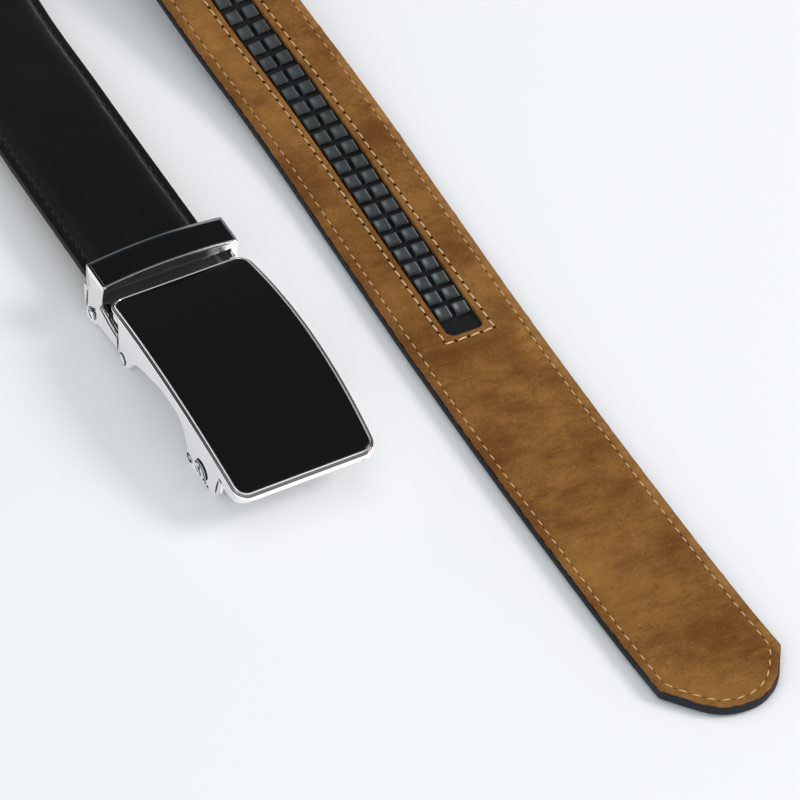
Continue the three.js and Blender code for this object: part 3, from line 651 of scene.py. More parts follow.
def drift(u):
    """Cubic through the rows of DRIFT, with each row's slope taken from its neighbours."""
    u = np.clip(u, 0, LENGTH)
    at, x = DRIFT.T
    row, last = np.arange(len(at)), len(at) - 1
    before, after = np.maximum(row - 1, 0), np.minimum(row + 1, last)
    slope = (x[after] - x[before]) / (at[after] - at[before])
    i = np.clip(np.searchsorted(at, u) - 1, 0, last - 1)
    span = at[i + 1] - at[i]
    t = (u - at[i]) / span
    a, b, rise = slope[i] * span, slope[i + 1] * span, x[i + 1] - x[i]
    return x[i] + t * (a + t * (3 * rise - 2 * a - b + t * (a + b - 2 * rise)))


def strap_point(u, v, h):
    """The strap's (u, v, h) in the layout: across the heading, then up along its normal."""
    u, v, h = np.broadcast_arrays(*(np.asarray(a, float) for a in (u, v, h)))
    heading = np.arctan((drift(u + 1) - drift(u - 1)) / 2)
    along = u - v * np.sin(heading)
    angle = direction(along)
    y = np.interp(along, course_u, course_y) + np.minimum(along, 0)
    z = np.interp(along, course_u, course_z)
    return np.stack([drift(u) + v * np.cos(heading), y - h * np.sin(angle), z + h * np.cos(angle)], -1)


print("strap's length", round(LENGTH, 1), "mm, tip at y =", round(float(course_y[-1]), 1))

# %% [markdown]
# ## The strap's outline
#
# Each side runs straight, turns a rounded corner, and follows a taper on to the nose's circle.
# Borders are offsets inwards from it, along directions smoothed so that they never cross: each
# is taken over REACH points either way, with PAST points added beyond both ends.

# %% Outline of the strap
NOSE_RADIUS = 15.0
NOSE_OFFSET = 1.05
CORNER_RADIUS = 2.2
END_PART = 26.0
TIP_COUNT = 90
PAST, REACH = 12, 10


def tip_side(side, taper):
    """(u, v) of one side of the tip, from the straight part to the apex, evenly spaced."""
    reach, back = HALF - side * NOSE_OFFSET, taper - NOSE_RADIUS
    angle = math.pi / 2 + math.atan2(back, reach) - math.acos(NOSE_RADIUS / math.hypot(reach, back))
    turn = math.pi / 2 - angle
    cut = CORNER_RADIUS * math.tan(turn / 2)
    t = np.linspace(0, 1, 40)[:, None]
    straight = np.array([LENGTH - END_PART, HALF]) + t * [END_PART - taper - cut, 0]
    a = t * turn
    corner = straight[-1] + CORNER_RADIUS * np.concatenate([np.sin(a), np.cos(a) - 1], 1)
    a = angle * (1 - t)
    circle = np.concatenate([np.cos(a), np.sin(a)], 1)
    nose = [LENGTH - NOSE_RADIUS, side * NOSE_OFFSET] + NOSE_RADIUS * circle
    line = np.concatenate([straight, corner, nose])
    line = line[np.r_[True, np.linalg.norm(np.diff(line, axis=0), axis=1) > 1e-6]]
    return evenly(line, TIP_COUNT) * [1, side]


left_tip, right_tip = tip_side(-1, 15.2), tip_side(1, 12.7)
right_tip[-1] = left_tip[-1] = [LENGTH, NOSE_OFFSET]
loop = np.concatenate([left_tip, right_tip[-2::-1]])
before = loop[:1] - np.arange(PAST, 0, -1)[:, None] * [0.5, 0]
after = loop[-1:] - np.arange(1, PAST + 1)[:, None] * [0.5, 0]
longer = np.concatenate([before, loop, after])
ahead = longer[PAST + REACH : len(longer) - PAST + REACH]
tangent = ahead - longer[PAST - REACH : len(longer) - PAST - REACH]
tangent /= np.linalg.norm(tangent, axis=1, keepdims=True)
inward = np.stack([-tangent[:, 1], tangent[:, 0]], -1)
left_in, right_in = inward[:TIP_COUNT], inward[: TIP_COUNT - 2 : -1]


def stations(extra=()):
    """Rows of u along the straight part: 2.5 mm apart, with the extras added."""
    base = np.concatenate([np.arange(0, LENGTH - END_PART, 2.5), list(extra)])
    base = np.unique(base.round(3))
    return base[base < LENGTH - END_PART - 0.2]


def side_rows(rows):
    """Edge points and inward directions of both sides: rows of u, then the tip."""
    plain = np.zeros(len(rows))
    left = np.concatenate([np.stack([rows, plain - HALF], -1), left_tip])
    right = np.concatenate([np.stack([rows, plain + HALF], -1), right_tip])
    left_dir = np.concatenate([np.stack([plain, plain + 1], -1), left_in])
    right_dir = np.concatenate([np.stack([plain, plain - 1], -1), right_in])
    return left, right, left_dir, right_dir


def across_strap(rows, border, inner):
    """(u, v) grid across the strap. border: insets from each edge; inner: columns between the
    last insets, as v in the straight part, drawn together in the tip."""
    left, right, left_dir, right_dir = side_rows(rows)
    inset = np.asarray(border)[None, :, None]
    lefts = left[:, None] + inset * left_dir[:, None]
    rights = right[:, None] + inset[:, ::-1] * right_dir[:, None]
    reach = HALF - border[-1]
    share = ((np.asarray(inner) + reach) / (2 * reach))[None, :, None]
    middle = lefts[:, -1:] * (1 - share) + rights[:, :1] * share
    return np.concatenate([lefts, middle, rights], 1)


def strap_uv(uv):
    """(u, v) in millimetres as tenths of a metre."""
    return uv / 100


print("tip outline", len(loop), "points")

# %% [markdown]
# ## Black face, painted edge
#
# The face is flat along its stitched margin, dips into a crease where the stitches lie, and
# rises over a ridge to the padded middle. STITCH is the long seams' pitch, and INSIDE is the
# inset that stands for every place away from the edge.

# %% Face and edge
STITCH = 3.8
INSIDE = 9.0
rows = stations(np.arange(0, LENGTH - END_PART, 0.95))
face_profile = np.array([
    (0.20, 2.90), (0.35, 2.98), (0.70, 3.02), (1.20, 3.02), (1.60, 2.97), (1.90, 2.84),
    (2.15, 2.72), (2.40, 2.84), (2.65, 3.12), (2.95, 3.38), (3.30, 3.56), (3.80, 3.69),
    (4.60, 3.78), (5.80, 3.85), (7.20, 3.88),
])
inner_v = np.linspace(-9.8, 9.8, 9)
uv = across_strap(rows, face_profile[:, 0], inner_v)
u, v = uv[..., 0], uv[..., 1]
inset = np.r_[face_profile[:, 0], np.full(len(inner_v), INSIDE), face_profile[::-1, 0]]
crown = 3.88 + 0.02 * np.cos(inner_v / 8)
heights = np.concatenate([face_profile[:, 1], crown, face_profile[::-1, 1]])
room = ease((LENGTH - u - 2.0) / 3.0)
pucker = 0.16 * np.abs(np.sin(math.pi * u / STITCH)) + 0.06 * np.sin(u / 5.1 + v)
top = np.minimum(heights, 3.0) + np.maximum(heights - 3.0, 0) * room
top = top + bell(inset, 3.0, 0.75) * (pucker - 0.12) * room
face = grid_object("strap_face_skin", strap_point(u, v, top), face_leather, strap_uv(uv))
# The ridge beside the seam gets a painted highlight: sharp and scalloped along the right side, broad and
# faint along the left.
wander = 0.16 * np.sin(u / 4.7) + 0.12 * np.sin(u / 1.9 + 2)
scallop = 0.35 + 0.65 * np.abs(np.sin(math.pi * u / STITCH)) * (0.8 + 2.0 * wander)
sharp = bell(inset - 2.9, wander, 0.46) * scallop * 1.15 + 0.13 * bell(inset, 3.4, 1.8)
broad = 0.11 * bell(inset, 4.1, 1.5)
paint(face, "ridge_highlight", np.where(v > 0, sharp, broad) * room)
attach(face, "strap")
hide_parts("strap_face")

edge_profile = np.array([
    (0.42, 2.985), (0.26, 2.985), (0.10, 2.90), (0.02, 2.70), (-0.02, 2.2), (-0.04, 1.5),
    (-0.02, 0.8), (0.03, 0.38), (0.13, 0.12), (0.28, 0.02), (0.42, 0.03),
])
left, right, left_dir, right_dir = side_rows(rows)
edge_line = np.concatenate([left, right[-2::-1]])
edge_in = np.concatenate([left_dir, right_dir[-2::-1]])
run = arc_length(edge_line)[:, None]
ragged = 1 + 0.5 * np.sin(run / 2.3) * np.sin(run / 3.7 + 1) + 0.3 * np.sin(run / 0.9)
under = np.arange(len(edge_profile)) >= len(edge_profile) - 2
edge_inset = edge_profile[:, 0] * np.where(under, ragged, 1)
uv = edge_line[:, None] + edge_inset[..., None] * edge_in[:, None]
edge_uv = np.stack(np.broadcast_arrays(run, edge_profile[:, 1]), -1) / 100
points = strap_point(uv[..., 0], uv[..., 1], edge_profile[:, 1])
edge = grid_object("strap_edge_paint", points, edge_paint, edge_uv)
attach(edge, "strap")
print("face", len(face.data.polygons), "quads, edge", len(edge.data.polygons))

# %% [markdown]
# ## Suede lining
#
# The lining is pressed in along its seams, and lifted where the track's sheet lies under it.
# The slot is left out of the grid, and a collar rounds its corners and lines its cut edge.

# %% Lining
SLOT_HALF = 5.5
SLOT_START = 150.5
TOOTH_ROWS, PITCH, TOOTH_LENGTH, TOOTH_WIDTH, SPACING, INSET = 36, 6.35, 4.6, 4.4, 5.3, 7.4
SLOT_LENGTH = TOOTH_ROWS * PITCH + 2 * INSET - (PITCH - TOOTH_LENGTH)
SLOT_U = (LENGTH - SLOT_START - SLOT_LENGTH, LENGTH - SLOT_START)
LIFT, RAMP, OVERLAP = 0.9, 3.0, 6.0
LIFT_REACH = 0.76 * HALF


def lift_at(u, v):
    """How far the lining is lifted: a flat top that falls to the edges and to both ends."""
    from_tip = LENGTH - u
    near = ease((from_tip - (SLOT_START - OVERLAP - RAMP)) / RAMP)
    far = ease((SLOT_START + SLOT_LENGTH + OVERLAP + RAMP - from_tip) / RAMP)
    return LIFT * near * far * ease((HALF - np.abs(v)) / (HALF - LIFT_REACH))


def slot_distance(u, v):
    """Distance outside the slot's rectangle."""
    middle, half = sum(SLOT_U) / 2, SLOT_LENGTH / 2
    du = np.maximum(np.abs(u - middle) - half, 0)
    dv = np.maximum(np.abs(v) - SLOT_HALF, 0)
    return np.hypot(du, dv)


def lining_height(u, v, inset):
    """Height of the suede: lifted, with a groove along the edge seam and round the slot."""
    edge_groove = 0.22 * bell(inset, SEAM_INSET, 0.55)
    slot_groove = 0.16 * bell(slot_distance(u, v), 1.8, 0.5)
    return edge_groove + slot_groove - lift_at(u, v)


SEAM_INSET = 2.6
border = np.array([0.16, 0.3, 0.7, 1.3, 1.8, 2.2, 2.6, 3.0, 3.4, 4.0, 4.8])
inner_v = np.array([-11.2, -9.6, -8.4, -7.8, -7.3, -6.8, -6.2, -5.5, -3.5, -1.2, 1.2, 3.5, 5.5])
inner_v = np.concatenate([inner_v, -inner_v[6::-1]])
fine = np.array([-9, -8, -7, -6, -5, -4, -3, -2.4, -1.8, -1.2, -0.6, 0, 0.6, 1.2])
rows = stations(np.concatenate([SLOT_U[1] - fine, SLOT_U[0] + fine, SLOT_U]))
uv = across_strap(rows, border, inner_v)
u, v = uv[..., 0], uv[..., 1]
inset = np.concatenate([border, np.full(len(inner_v), INSIDE), border[::-1]])
rim = np.concatenate([[0.10, 0.03], np.zeros(len(inset) - 4), [0.03, 0.10]])
points = strap_point(u, v, lining_height(u, v, inset) + rim)
v_mid = (v[:-1, :-1] + v[:-1, 1:]) / 2
u_mid = (u[:-1, :-1] + u[1:, :-1]) / 2
keep = ~((np.abs(v_mid) < SLOT_HALF) & (u_mid > SLOT_U[0]) & (u_mid < SLOT_U[1]))
turned = strap_uv(uv)[:, ::-1]
lining = grid_object("strap_lining_suede", points[:, ::-1], suede, turned, keep=keep[:, ::-1])


def nap_tone_and_shade_at(u, v):
    """Tone of the nap, paler (+) or darker (-): rubbed pale along the right edge and round the slot,
    paler in a patch past the slot's end, darker along the left edge, and painted shade in the
    crease where the track's sheet ends."""
    wander = 0.6 * np.sin(u / 7.3) + 0.4 * np.sin(u / 2.9 + 1)
    right = ease((v - (HALF - 3.0) - 0.3 * wander) / 1.2) * (0.36 + 0.12 * wander)
    left = ease((-v - (HALF - 2.6)) / 1.0) * -0.25
    beside = bell(slot_distance(u, v), 0.9, 0.8) * (0.06 + 0.08 * wander)
    # Painted shade in the crease where the track's sheet ends:
    past = SLOT_U[1] + 7.0 + 0.10 * v - u
    deep = 0.35 + 0.65 * bell(v, -10, 6)
    crease = bell(past, 0, 1.6 + 1.2 * deep) * -0.95 * deep * ease((HALF - 1.5 - np.abs(v)) / 4)
    patch = 0.5 * bell(u, SLOT_U[1] + 8, 8.0) * bell(v, 13.0, 2.4)
    return right + left + beside + crease + patch


paint(lining, "nap_tone_and_shade", nap_tone_and_shade_at(u, v)[:, ::-1])
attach(lining, "strap")
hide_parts("strap_back")
print("lining", len(lining.data.polygons), "quads")

# %% [markdown]
# ### Slot's collar
#
# A collar follows the slot's rounded corners and lines its cut edge, down through the lining.


# %% Slot's collar
def slot_path(offset, radius=2.8):
    """(u, v) round the slot, offset outwards, with rounded corners; radius 0 keeps them sharp."""
    r = radius + offset if radius else 0.0
    a = np.linspace(0, math.pi / 2, 12)
    quarter = np.stack([np.cos(a), np.sin(a)], -1) * r
    out = offset - r
    ends, side = (SLOT_U[1] + out, SLOT_U[0] - out), SLOT_HALF + out
    corners = [
        quarter + [ends[0], side],
        quarter[::-1] * [-1, 1] + [ends[1], side],
        quarter * -1 + [ends[1], -side],
        quarter[::-1] * [1, -1] + [ends[0], -side],
    ]
    steps = np.linspace(0, 1, 100)[1:-1, None]
    across = np.linspace(0, 1, 12)[1:-1, None]
    parts = []
    for k, part in enumerate(corners):
        after = corners[(k + 1) % 4]
        t = steps if k % 2 == 0 else across
        parts += [part, part[-1] * (1 - t) + after[0] * t]
    return np.concatenate(parts)


collar_profile = [
    (1.5, 0.03), (1.25, -0.03), (0.8, -0.04), (0.25, -0.03), (0.06, 0.06), (0.0, 0.25),
    (0.0, LINING),
]
uv = np.stack([slot_path(offset) for offset, _ in collar_profile], 1)
u, v = uv[..., 0], uv[..., 1]
drop = np.array([h for _, h in collar_profile])
height = np.where(drop > 1, LINING - 0.05, lining_height(u, v, INSIDE) + drop)
collar = grid_object("slot_collar", strap_point(u, v, height), suede, strap_uv(uv), close_rows=True)
paint(collar, "nap_tone_and_shade", nap_tone_and_shade_at(u, v))
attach(collar, "strap")
print("collar", len(collar.data.polygons), "quads")

# %% [markdown]
# ## Ratchet track
#
# A flat sheet, and on it two rows of pads whose tops slope down towards the tip. Each pad is a
# small height field: full inside, rounded off along its rim.

# %% Track
sheet_u = np.linspace(SLOT_U[0] - OVERLAP, SLOT_U[1] + OVERLAP, 90)
sheet_v = np.linspace(-13, 13, 9)
sheet_floor = LINING - LIFT + 0.12
uu, vv = np.meshgrid(sheet_u, sheet_v, indexing="ij")
sheet = strap_point(uu, vv, sheet_floor)
n = 15
a, b = np.meshgrid(np.linspace(-1, 1, n), np.linspace(-1, 1, n), indexing="ij")
a, b = np.sign(a) * np.abs(a) ** 0.7, np.sign(b) * np.abs(b) ** 0.7
from_ends, from_sides = (1 - np.abs(a)) * TOOTH_LENGTH / 2, (1 - np.abs(b)) * TOOTH_WIDTH / 2
fall = np.sqrt(ease(from_ends / 0.40)) * np.sqrt(ease(from_sides / 0.35))
near = SLOT_START + INSET + np.arange(TOOTH_ROWS) * PITCH + TOOTH_LENGTH / 2
near = near[:, None, None, None]
side = np.array([-1, 1])[None, :, None, None]
tooth_u = LENGTH - near + a * TOOTH_LENGTH / 2 + 0 * side
tooth_v = side * SPACING / 2 + b * TOOTH_WIDTH / 2 + 0 * tooth_u
top = -LIFT + 0.28 + 0.26 * a
tooth_h = sheet_floor + (top - sheet_floor) * fall + 0 * tooth_v
teeth = strap_point(tooth_u, tooth_v, tooth_h).reshape(-1, n, n, 3)

# Painted highlights on the pads' tops: an even level, a glint towards one corner and a line along one side,
# all brighter nearer the slot's end.
from_slot = near - SLOT_START
level = 0.064 + 0.025 * np.exp(-(from_slot / 60))
glint = bell(b, -0.50, 0.28) * bell(a, -0.25, 0.45)
corner = 0.07 + 0.42 * np.exp(-(from_slot / 45))
side_line = bell(b, 0.86, 0.08) * ease((from_ends - 0.3) / 0.3)
flat = ease((from_ends - 0.50) / 0.22) * ease((from_sides - 0.32) / 0.22)
pad_highlight = (level * (1 - 0.22 * a * b) + corner * glint) * flat
pad_highlight = pad_highlight + (0.18 + 0.60 * np.exp(-(from_slot / 60))) * side_line + 0 * tooth_v
first = sheet.shape[0] * sheet.shape[1]
pads = repeated(quads(n, n)[:, ::-1], len(teeth), n * n, first)
faces = np.concatenate([quads(*sheet.shape[:2])[:, ::-1], pads])
verts = np.concatenate([sheet.reshape(-1, 3), teeth.reshape(-1, 3)])
track = new_object("track_pads", in_row(verts), faces.tolist(), track_plastic)
paint(track, "pad_highlight", np.concatenate([np.zeros(first), pad_highlight.ravel()]))
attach(track, "strap")
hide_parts("ratchet_track")
print("track", len(teeth), "pads,", len(track.data.polygons), "quads")

# %% [markdown]
# ## Seams
#
# A seam follows a line on the surface. Each stitch is a short tube that arches out of one
# needle hole into the next, slightly aslant, and each hole is a small soft dark spot of painted shade.


# %% Seams
SLANT, AHEAD = 0.05, 0.2
RINGS, SIDES = 9, 8
HOLE_LONG, HOLE_WIDE = 0.62, 0.46


def many(name, points, uv_map, material, flip):
    """Equal small grids, closed across, as one object: points (count, rows, columns, 3)."""
    count, rows, columns = points.shape[:3]
    cell = quads(rows, columns, close_columns=True)
    cell = cell[:, ::-1] if flip else cell
    faces = repeated(cell, count, rows * columns).tolist()
    made = new_object(name, in_row(points.reshape(-1, 3)), faces, material, uv_map.reshape(-1, 2))
    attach(made, "strap")


def needle_holes(name, at, surface, sign, size):
    """Oval spots round the (u, v) points at, a little above the surface."""
    u, v = at.T[..., None, None]
    around = np.linspace(0, 2 * math.pi, 10, endpoint=False)
    radius = np.array([0.02, 0.5, 1.0])[:, None]
    du, dv = radius * np.cos(around), radius * np.sin(around)
    uu, vv = u + du * HOLE_LONG * size, v + dv * HOLE_WIDE * size
    points = strap_point(uu, vv, surface(uu, vv) + sign * 0.03)
    uv_map = np.broadcast_to(np.stack([du, dv], -1), (*uu.shape, 2))
    many(name, points, uv_map, needle_hole, sign < 0)


def seam(name, uv, surface, pitch, shown, width, thread, sign, hole):
    """Stitches along the (u, v) line. surface(u, v) is the height there; sign is +1 on the face
    and -1 on the suede side; hole scales the needle holes. A stitch is a tube: its centre line
    is raised by an arch, and round it runs an ellipse."""
    total = arc_length(uv)[-1]
    count = int(total / pitch)
    pitch = total / count
    t = np.linspace(0, 1, RINGS)
    starts = np.arange(count) * pitch
    s = starts[:, None] + (pitch - shown) / 2 + t * shown
    middle = on_line(uv, s)
    ahead = on_line(uv, s + AHEAD) - middle
    short = np.linalg.norm(ahead, axis=-1, keepdims=True)
    ahead = np.where(short > 1e-6, ahead / np.maximum(short, 1e-9), [[[1.0, 0.0]]])
    side = np.stack([-ahead[..., 1], ahead[..., 0]], -1)
    lean = SLANT * shown * (t - 0.5) * 2
    around = np.linspace(0, 2 * math.pi, SIDES, endpoint=False)
    body = np.sqrt(np.sin(math.pi * (0.06 + 0.88 * t)))
    wide = lean[None, :, None] + width / 2 * body[None, :, None] * np.cos(around)
    arched = (body - 0.55) * width * 0.75
    tall = arched[None, :, None] + width * 0.36 * np.sin(around)
    uu = middle[..., 0, None] + side[..., None, 0] * wide
    vv = middle[..., 1, None] + side[..., None, 1] * wide
    hh = surface(middle[..., 0], middle[..., 1])[..., None] + sign * tall
    points = strap_point(uu, vv, np.broadcast_to(hh, uu.shape))
    uv_map = np.stack(np.broadcast_arrays((s * 1.1)[..., None], around / (2 * math.pi) * 2), -1)
    many(name, points, uv_map, thread, sign > 0)
    needle_holes(name + "_holes", on_line(uv, starts), surface, sign, hole)
    print(name, count, "stitches", round(pitch, 2), "mm apart")


def edge_seam(inset):
    """(u, v) of the seam that runs round the strap at a distance from its edge: its corners are
    rounded by a running mean."""
    rows = stations()
    left, right, left_dir, right_dir = side_rows(rows[rows > 12])
    line = np.concatenate([left + inset * left_dir, (right + inset * right_dir)[-2::-1]])
    line = evenly(line, 2400)
    mean = 7
    window = np.ones(mean) / mean
    inside = [np.convolve(np.pad(line[:, k], mean // 2, "edge"), window, "valid") for k in (0, 1)]
    return np.stack(inside, -1)


def lining_surface(inset):
    """The suede's height as a function of (u, v) alone, at one inset from the edge."""
    return lambda u, v: lining_height(u, v, inset)


def face_crease(u, v):
    """The face's height in the crease where its stitches lie: the same everywhere."""
    return np.full(np.shape(u), 2.68)


slot_line = slot_path(1.75, radius=0)
slot_line = np.concatenate([slot_line, slot_line[:1]])
lining_line = edge_seam(SEAM_INSET)
seam("lining_seam", lining_line, lining_surface(SEAM_INSET), STITCH, 2.1, 0.36, cream_thread, -1, 0.95)
seam("slot_seam", slot_line, lining_surface(INSIDE), 3.85, 2.7, 0.56, cream_thread, -1, 1.25)
seam("face_seam", edge_seam(2.1), face_crease, STITCH, 2.5, 0.4, black_thread, 1, 1.0)

# %% [markdown]
# ## Buckle
#
# The rim's top is part of a cylinder that arches along the belt; its plan is a rectangle with
# round corners and bowed long sides. A profile of insets and depths is swept round that plan.

# %% Rim's plan and arch
REAR, FRONT, RISE = (-2.8, 17.8), (-81.8, 14.1), 5.35
LEAN, CHEEK_TOP = 1.0, 22.0
RIM_PLAN = (FRONT[0], REAR[0], 20.75, 0.9, 4.4)
chord = math.hypot(FRONT[0] - REAR[0], FRONT[1] - REAR[1])
RADIUS = chord**2 / (8 * RISE) + RISE / 2
ARCH_Y = (REAR[0] + FRONT[0]) / 2 - (RADIUS - RISE) * (FRONT[1] - REAR[1]) / chord
ARCH_Z = (REAR[1] + FRONT[1]) / 2 - (RADIUS - RISE) * (REAR[0] - FRONT[0]) / chord


def arch(y, depth):
    """Height of the arch at y: a circle's, its radius less by the depth."""
    return ARCH_Z + np.sqrt((RADIUS - depth) ** 2 - (y - ARCH_Y) ** 2)


def shrunk(plan, inset):
    """A plan (front, rear, half width, bow, corner radius) moved inwards by an inset."""
    front, rear, half, bow, corner = plan
    return front + inset, rear - inset, half - inset, bow, max(corner - inset, 0.12)


def half_width(y, plan):
    """Half of a plan's width at y: bowed along the side, round at the corners."""
    front, rear, half, bow, corner = plan
    t = np.clip((y - front - corner) / (rear - front - 2 * corner), 0, 1)
    from_end = np.clip(np.minimum(y - front, rear - y), 0, corner)
    return half - corner + 4 * bow * t * (1 - t) + np.sqrt(corner**2 - (corner - from_end) ** 2)


def plan_loop(plan, along=60, across=24):
    """(x, y) round a plan, anticlockwise from the right front corner."""
    front, rear, _, _, corner = plan
    turn = corner * (1 - np.cos(np.linspace(0, math.pi / 2, 14)))
    side = np.linspace(front + corner, rear - corner, along)[1:-1]
    y = np.concatenate([front + turn, side, rear - turn[::-1]])
    right = np.stack([half_width(y, plan), y], -1)
    steps = np.linspace(-1, 1, across)[1:-1]
    back = np.stack([-steps * right[-1, 0], np.full(across - 2, rear)], -1)
    near = np.stack([steps * right[0, 0], np.full(across - 2, front)], -1)
    return np.concatenate([right, back, (right * [-1, 1])[::-1], near])


def leaned(x, y, z):
    """The buckle's sides lean in towards the foot, from just under the rim's outer edge."""
    below = ease((arch(y, 0.9) - z) / 1.5)
    return x * (1 - LEAN / RIM_PLAN[2] * (1 - z / CHEEK_TOP) * below)


def on_buckle(x, y, depth):
    """A point at a depth under the arch, with x drawn in as the sides lean."""
    z = arch(y, depth)
    return np.stack([leaned(x, y, z), y, z], -1)


def sweep(name, profile, plan, surface, material, body, **steps):
    """A profile of (inset, depth) swept round a plan on a surface(x, y, depth)."""
    loops = np.stack([plan_loop(shrunk(plan, inset), **steps) for inset, _ in profile], 1)
    inset, depth = np.array(profile).T[:, None]
    points = surface(loops[..., 0], loops[..., 1], depth + 0 * loops[..., 0])
    turn = np.linspace(0, 1, len(loops), endpoint=False)[:, None]
    uv = np.stack(np.broadcast_arrays(turn, inset), -1)
    made = grid_object(name, points, material, uv, close_rows=True)
    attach(made, body)
    return made


print("arch's radius", round(RADIUS, 1), "mm")

# %% [markdown]
# ### Rim and insert
#
# From its outer wall the rim goes over two grooves with a ridge between, up on to the lip, and
# down to the insert. The insert is a grid over the plan, turned down a little at its border.

# %% Rim and insert
rim_profile = [
    (0.02, 2.15), (0.0, 2.0), (0.0, 1.5), (0.0, 1.02), (0.02, 0.93), (0.07, 0.86), (0.14, 0.83),
    (0.22, 0.85), (0.28, 0.92), (0.33, 1.02), (0.42, 1.02), (0.46, 0.94), (0.51, 0.84),
    (0.57, 0.80), (0.63, 0.84), (0.67, 0.90), (0.74, 0.90), (0.77, 0.62), (0.78, 0.40),
    (0.80, 0.26), (0.84, 0.16), (0.90, 0.07), (0.96, 0.02), (1.02, 0.01), (1.08, 0.03),
    (1.14, 0.07), (1.21, 0.13), (1.28, 0.20), (1.33, 0.27), (1.355, 0.36), (1.36, 0.60),
    (1.36, 0.90),
]
rim = sweep("buckle_rim", rim_profile, RIM_PLAN, on_buckle, rim_chrome, "buckle")
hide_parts("buckle_frame")
foot_profile = [
    (0.0, 2.0), (0.01, 2.15), (0.08, 2.26), (0.2, 2.3), (2.25, 2.3), (2.40, 2.2), (2.45, 2.05),
    (2.45, 1.6),
]
sweep("buckle_rim_foot", foot_profile, RIM_PLAN, on_buckle, chrome, "buckle")


CROWD_ALONG, CROWD_ACROSS, BORDER = 0.6, 1.4, 0.35


def plan_grid(plan, surface, depth, edge=0.0, rows=70, columns=25):
    """Points over a plan, closer together at its border, where they lie lower by edge."""
    front, rear = plan[:2]
    t = np.linspace(0, 1, rows)
    y = (front + (rear - front) * (t - CROWD_ALONG * np.sin(2 * math.pi * t) / (2 * math.pi)))[:, None]
    across = np.sin(np.linspace(-1, 1, columns) * CROWD_ACROSS) / math.sin(CROWD_ACROSS)
    x = half_width(y, plan) * across
    y = y + 0 * x
    from_border = np.minimum(np.minimum(y - front, rear - y), half_width(y, plan) - np.abs(x))
    return surface(x, y, depth + edge * (1 - ease(from_border / BORDER)))


def straight_up(x, y, depth):
    """A point at a depth under the arch, with x as it is."""
    return np.stack([x, y, arch(y, depth)], -1)


points = plan_grid(shrunk(RIM_PLAN, 1.36), straight_up, 0.10, 0.10, 120, 61)
insert = grid_object("buckle_insert", points, gloss)
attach(insert, "buckle")
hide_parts("face_plate")
points = plan_grid(shrunk(RIM_PLAN, 2.3), straight_up, 1.6)
underside = grid_object("buckle_underside", points[:, ::-1], cast_chrome)
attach(underside, "buckle")
print("rim", len(rim.data.polygons), "quads, insert", len(insert.data.polygons))

# %% [markdown]
# ### Cheeks
#
# A cheek hangs from the rim down to a lower outline: front skirt, notch, front leg with its
# pins, the arch, the hinge's lobe and the rear skirt. The outer face bends round that outline
# into its thickness. Its grid has DOWN rows from the rim to that outline and ROUND rows round
# the edge; LOBE, REAR_EDGE and SKIRT count the points of the outline's last three parts.


# %% Cheeks
def bezier(points, count):
    """Points of a Bezier curve: sum of binomial(n, k) t^k (1 - t)^(n - k) times point k."""
    points = np.asarray(points, float)
    n = len(points) - 1
    t = np.linspace(0, 1, count)[:, None]
    weight = [math.comb(n, k) * t**k * (1 - t) ** (n - k) for k in range(n + 1)]
    return sum(w * p for w, p in zip(weight, points))


def arc(centre, radius, start, end, count):
    """Points of a circle's arc in the side view."""
    a = np.linspace(start, end, count)
    return np.asarray(centre) + radius * np.stack([np.cos(a), np.sin(a)], -1)


CHANNEL = 18.3
HINGE_AXIS, PAWL_AXIS, JAW_AXIS = (-11.0, 3.2), (-58.8, 4.4), (8.2, 3.3)
EDGE_ROUND = 0.3
LOBE, REAR_EDGE, SKIRT = 16, 12, 9
DOWN, ROUND = 16, 5
lower = np.concatenate(
    [
        bezier([(-81.8, 11.6), (-81.79, 11.6), (-76, 8.3), (-71.4, 10.4)], 26),
        bezier([(-71.4, 10.4), (-70.4, 11.2)], 4)[1:],
        bezier([(-70.4, 11.2), (-69.7, 9.3)], 6)[1:],
        bezier([(-69.7, 9.3), (-67.8, 3.9)], 6)[1:],
        bezier([(-67.6, 3.5), (-66.9, 0.9), (-65.4, 0.8)], 8),
        bezier([(-65.2, 0.75), (-63.6, 0.2), (-62.0, 1.3)], 8),
        arc(PAWL_AXIS, 4.4, -2.4, -math.pi / 2, 14),
        bezier([(-58.2, 0), (-53.6, 0)], 6),
        bezier([(-53.4, 0.02), (-51.6, 0.4), (-51.7, 3.4)], 8),
        bezier([(-51.7, 3.9), (-51.5, 13.4), (-48.6, 15.9), (-43.4, 15.9)], 26),
        bezier([(-43.0, 15.9), (-36, 15.9), (-29.8, 13)], 20),
        bezier([(-29.4, 12.9), (-19.6, 10.6), (-14.4, 2.8)], 22),
        arc(HINGE_AXIS, 3.2, math.pi + 0.3, 2 * math.pi - 0.5, LOBE),
        bezier([(-8.2, 3.0), (-8.2, 8.0), (-9.6, 14.1)], REAR_EDGE),
        bezier([(-9.2, 14.4), (-2.8, 13.7)], SKIRT),
    ]
)
corner = len(lower) - SKIRT
lobe = corner - REAR_EDGE - LOBE
lower[:lobe, 0] = np.maximum.accumulate(lower[:lobe, 0] + np.arange(lobe) * 1e-5)
top_y = np.minimum(lower[:, 0], REAR[0])
top_y[lobe:corner] = np.linspace(top_y[lobe], top_y[corner - 1], corner - lobe)
slope = np.gradient(lower, axis=0)
slope /= np.linalg.norm(slope, axis=1, keepdims=True)
upward = np.stack([-slope[:, 1], slope[:, 0]], -1)
top_line = np.stack([top_y, arch(top_y, 1.6)], -1)
inner_line = lower + EDGE_ROUND * upward
t = np.linspace(0, 1, DOWN)[:, None, None]
turn = np.linspace(0, math.pi / 2, ROUND + 1)[1:, None, None]
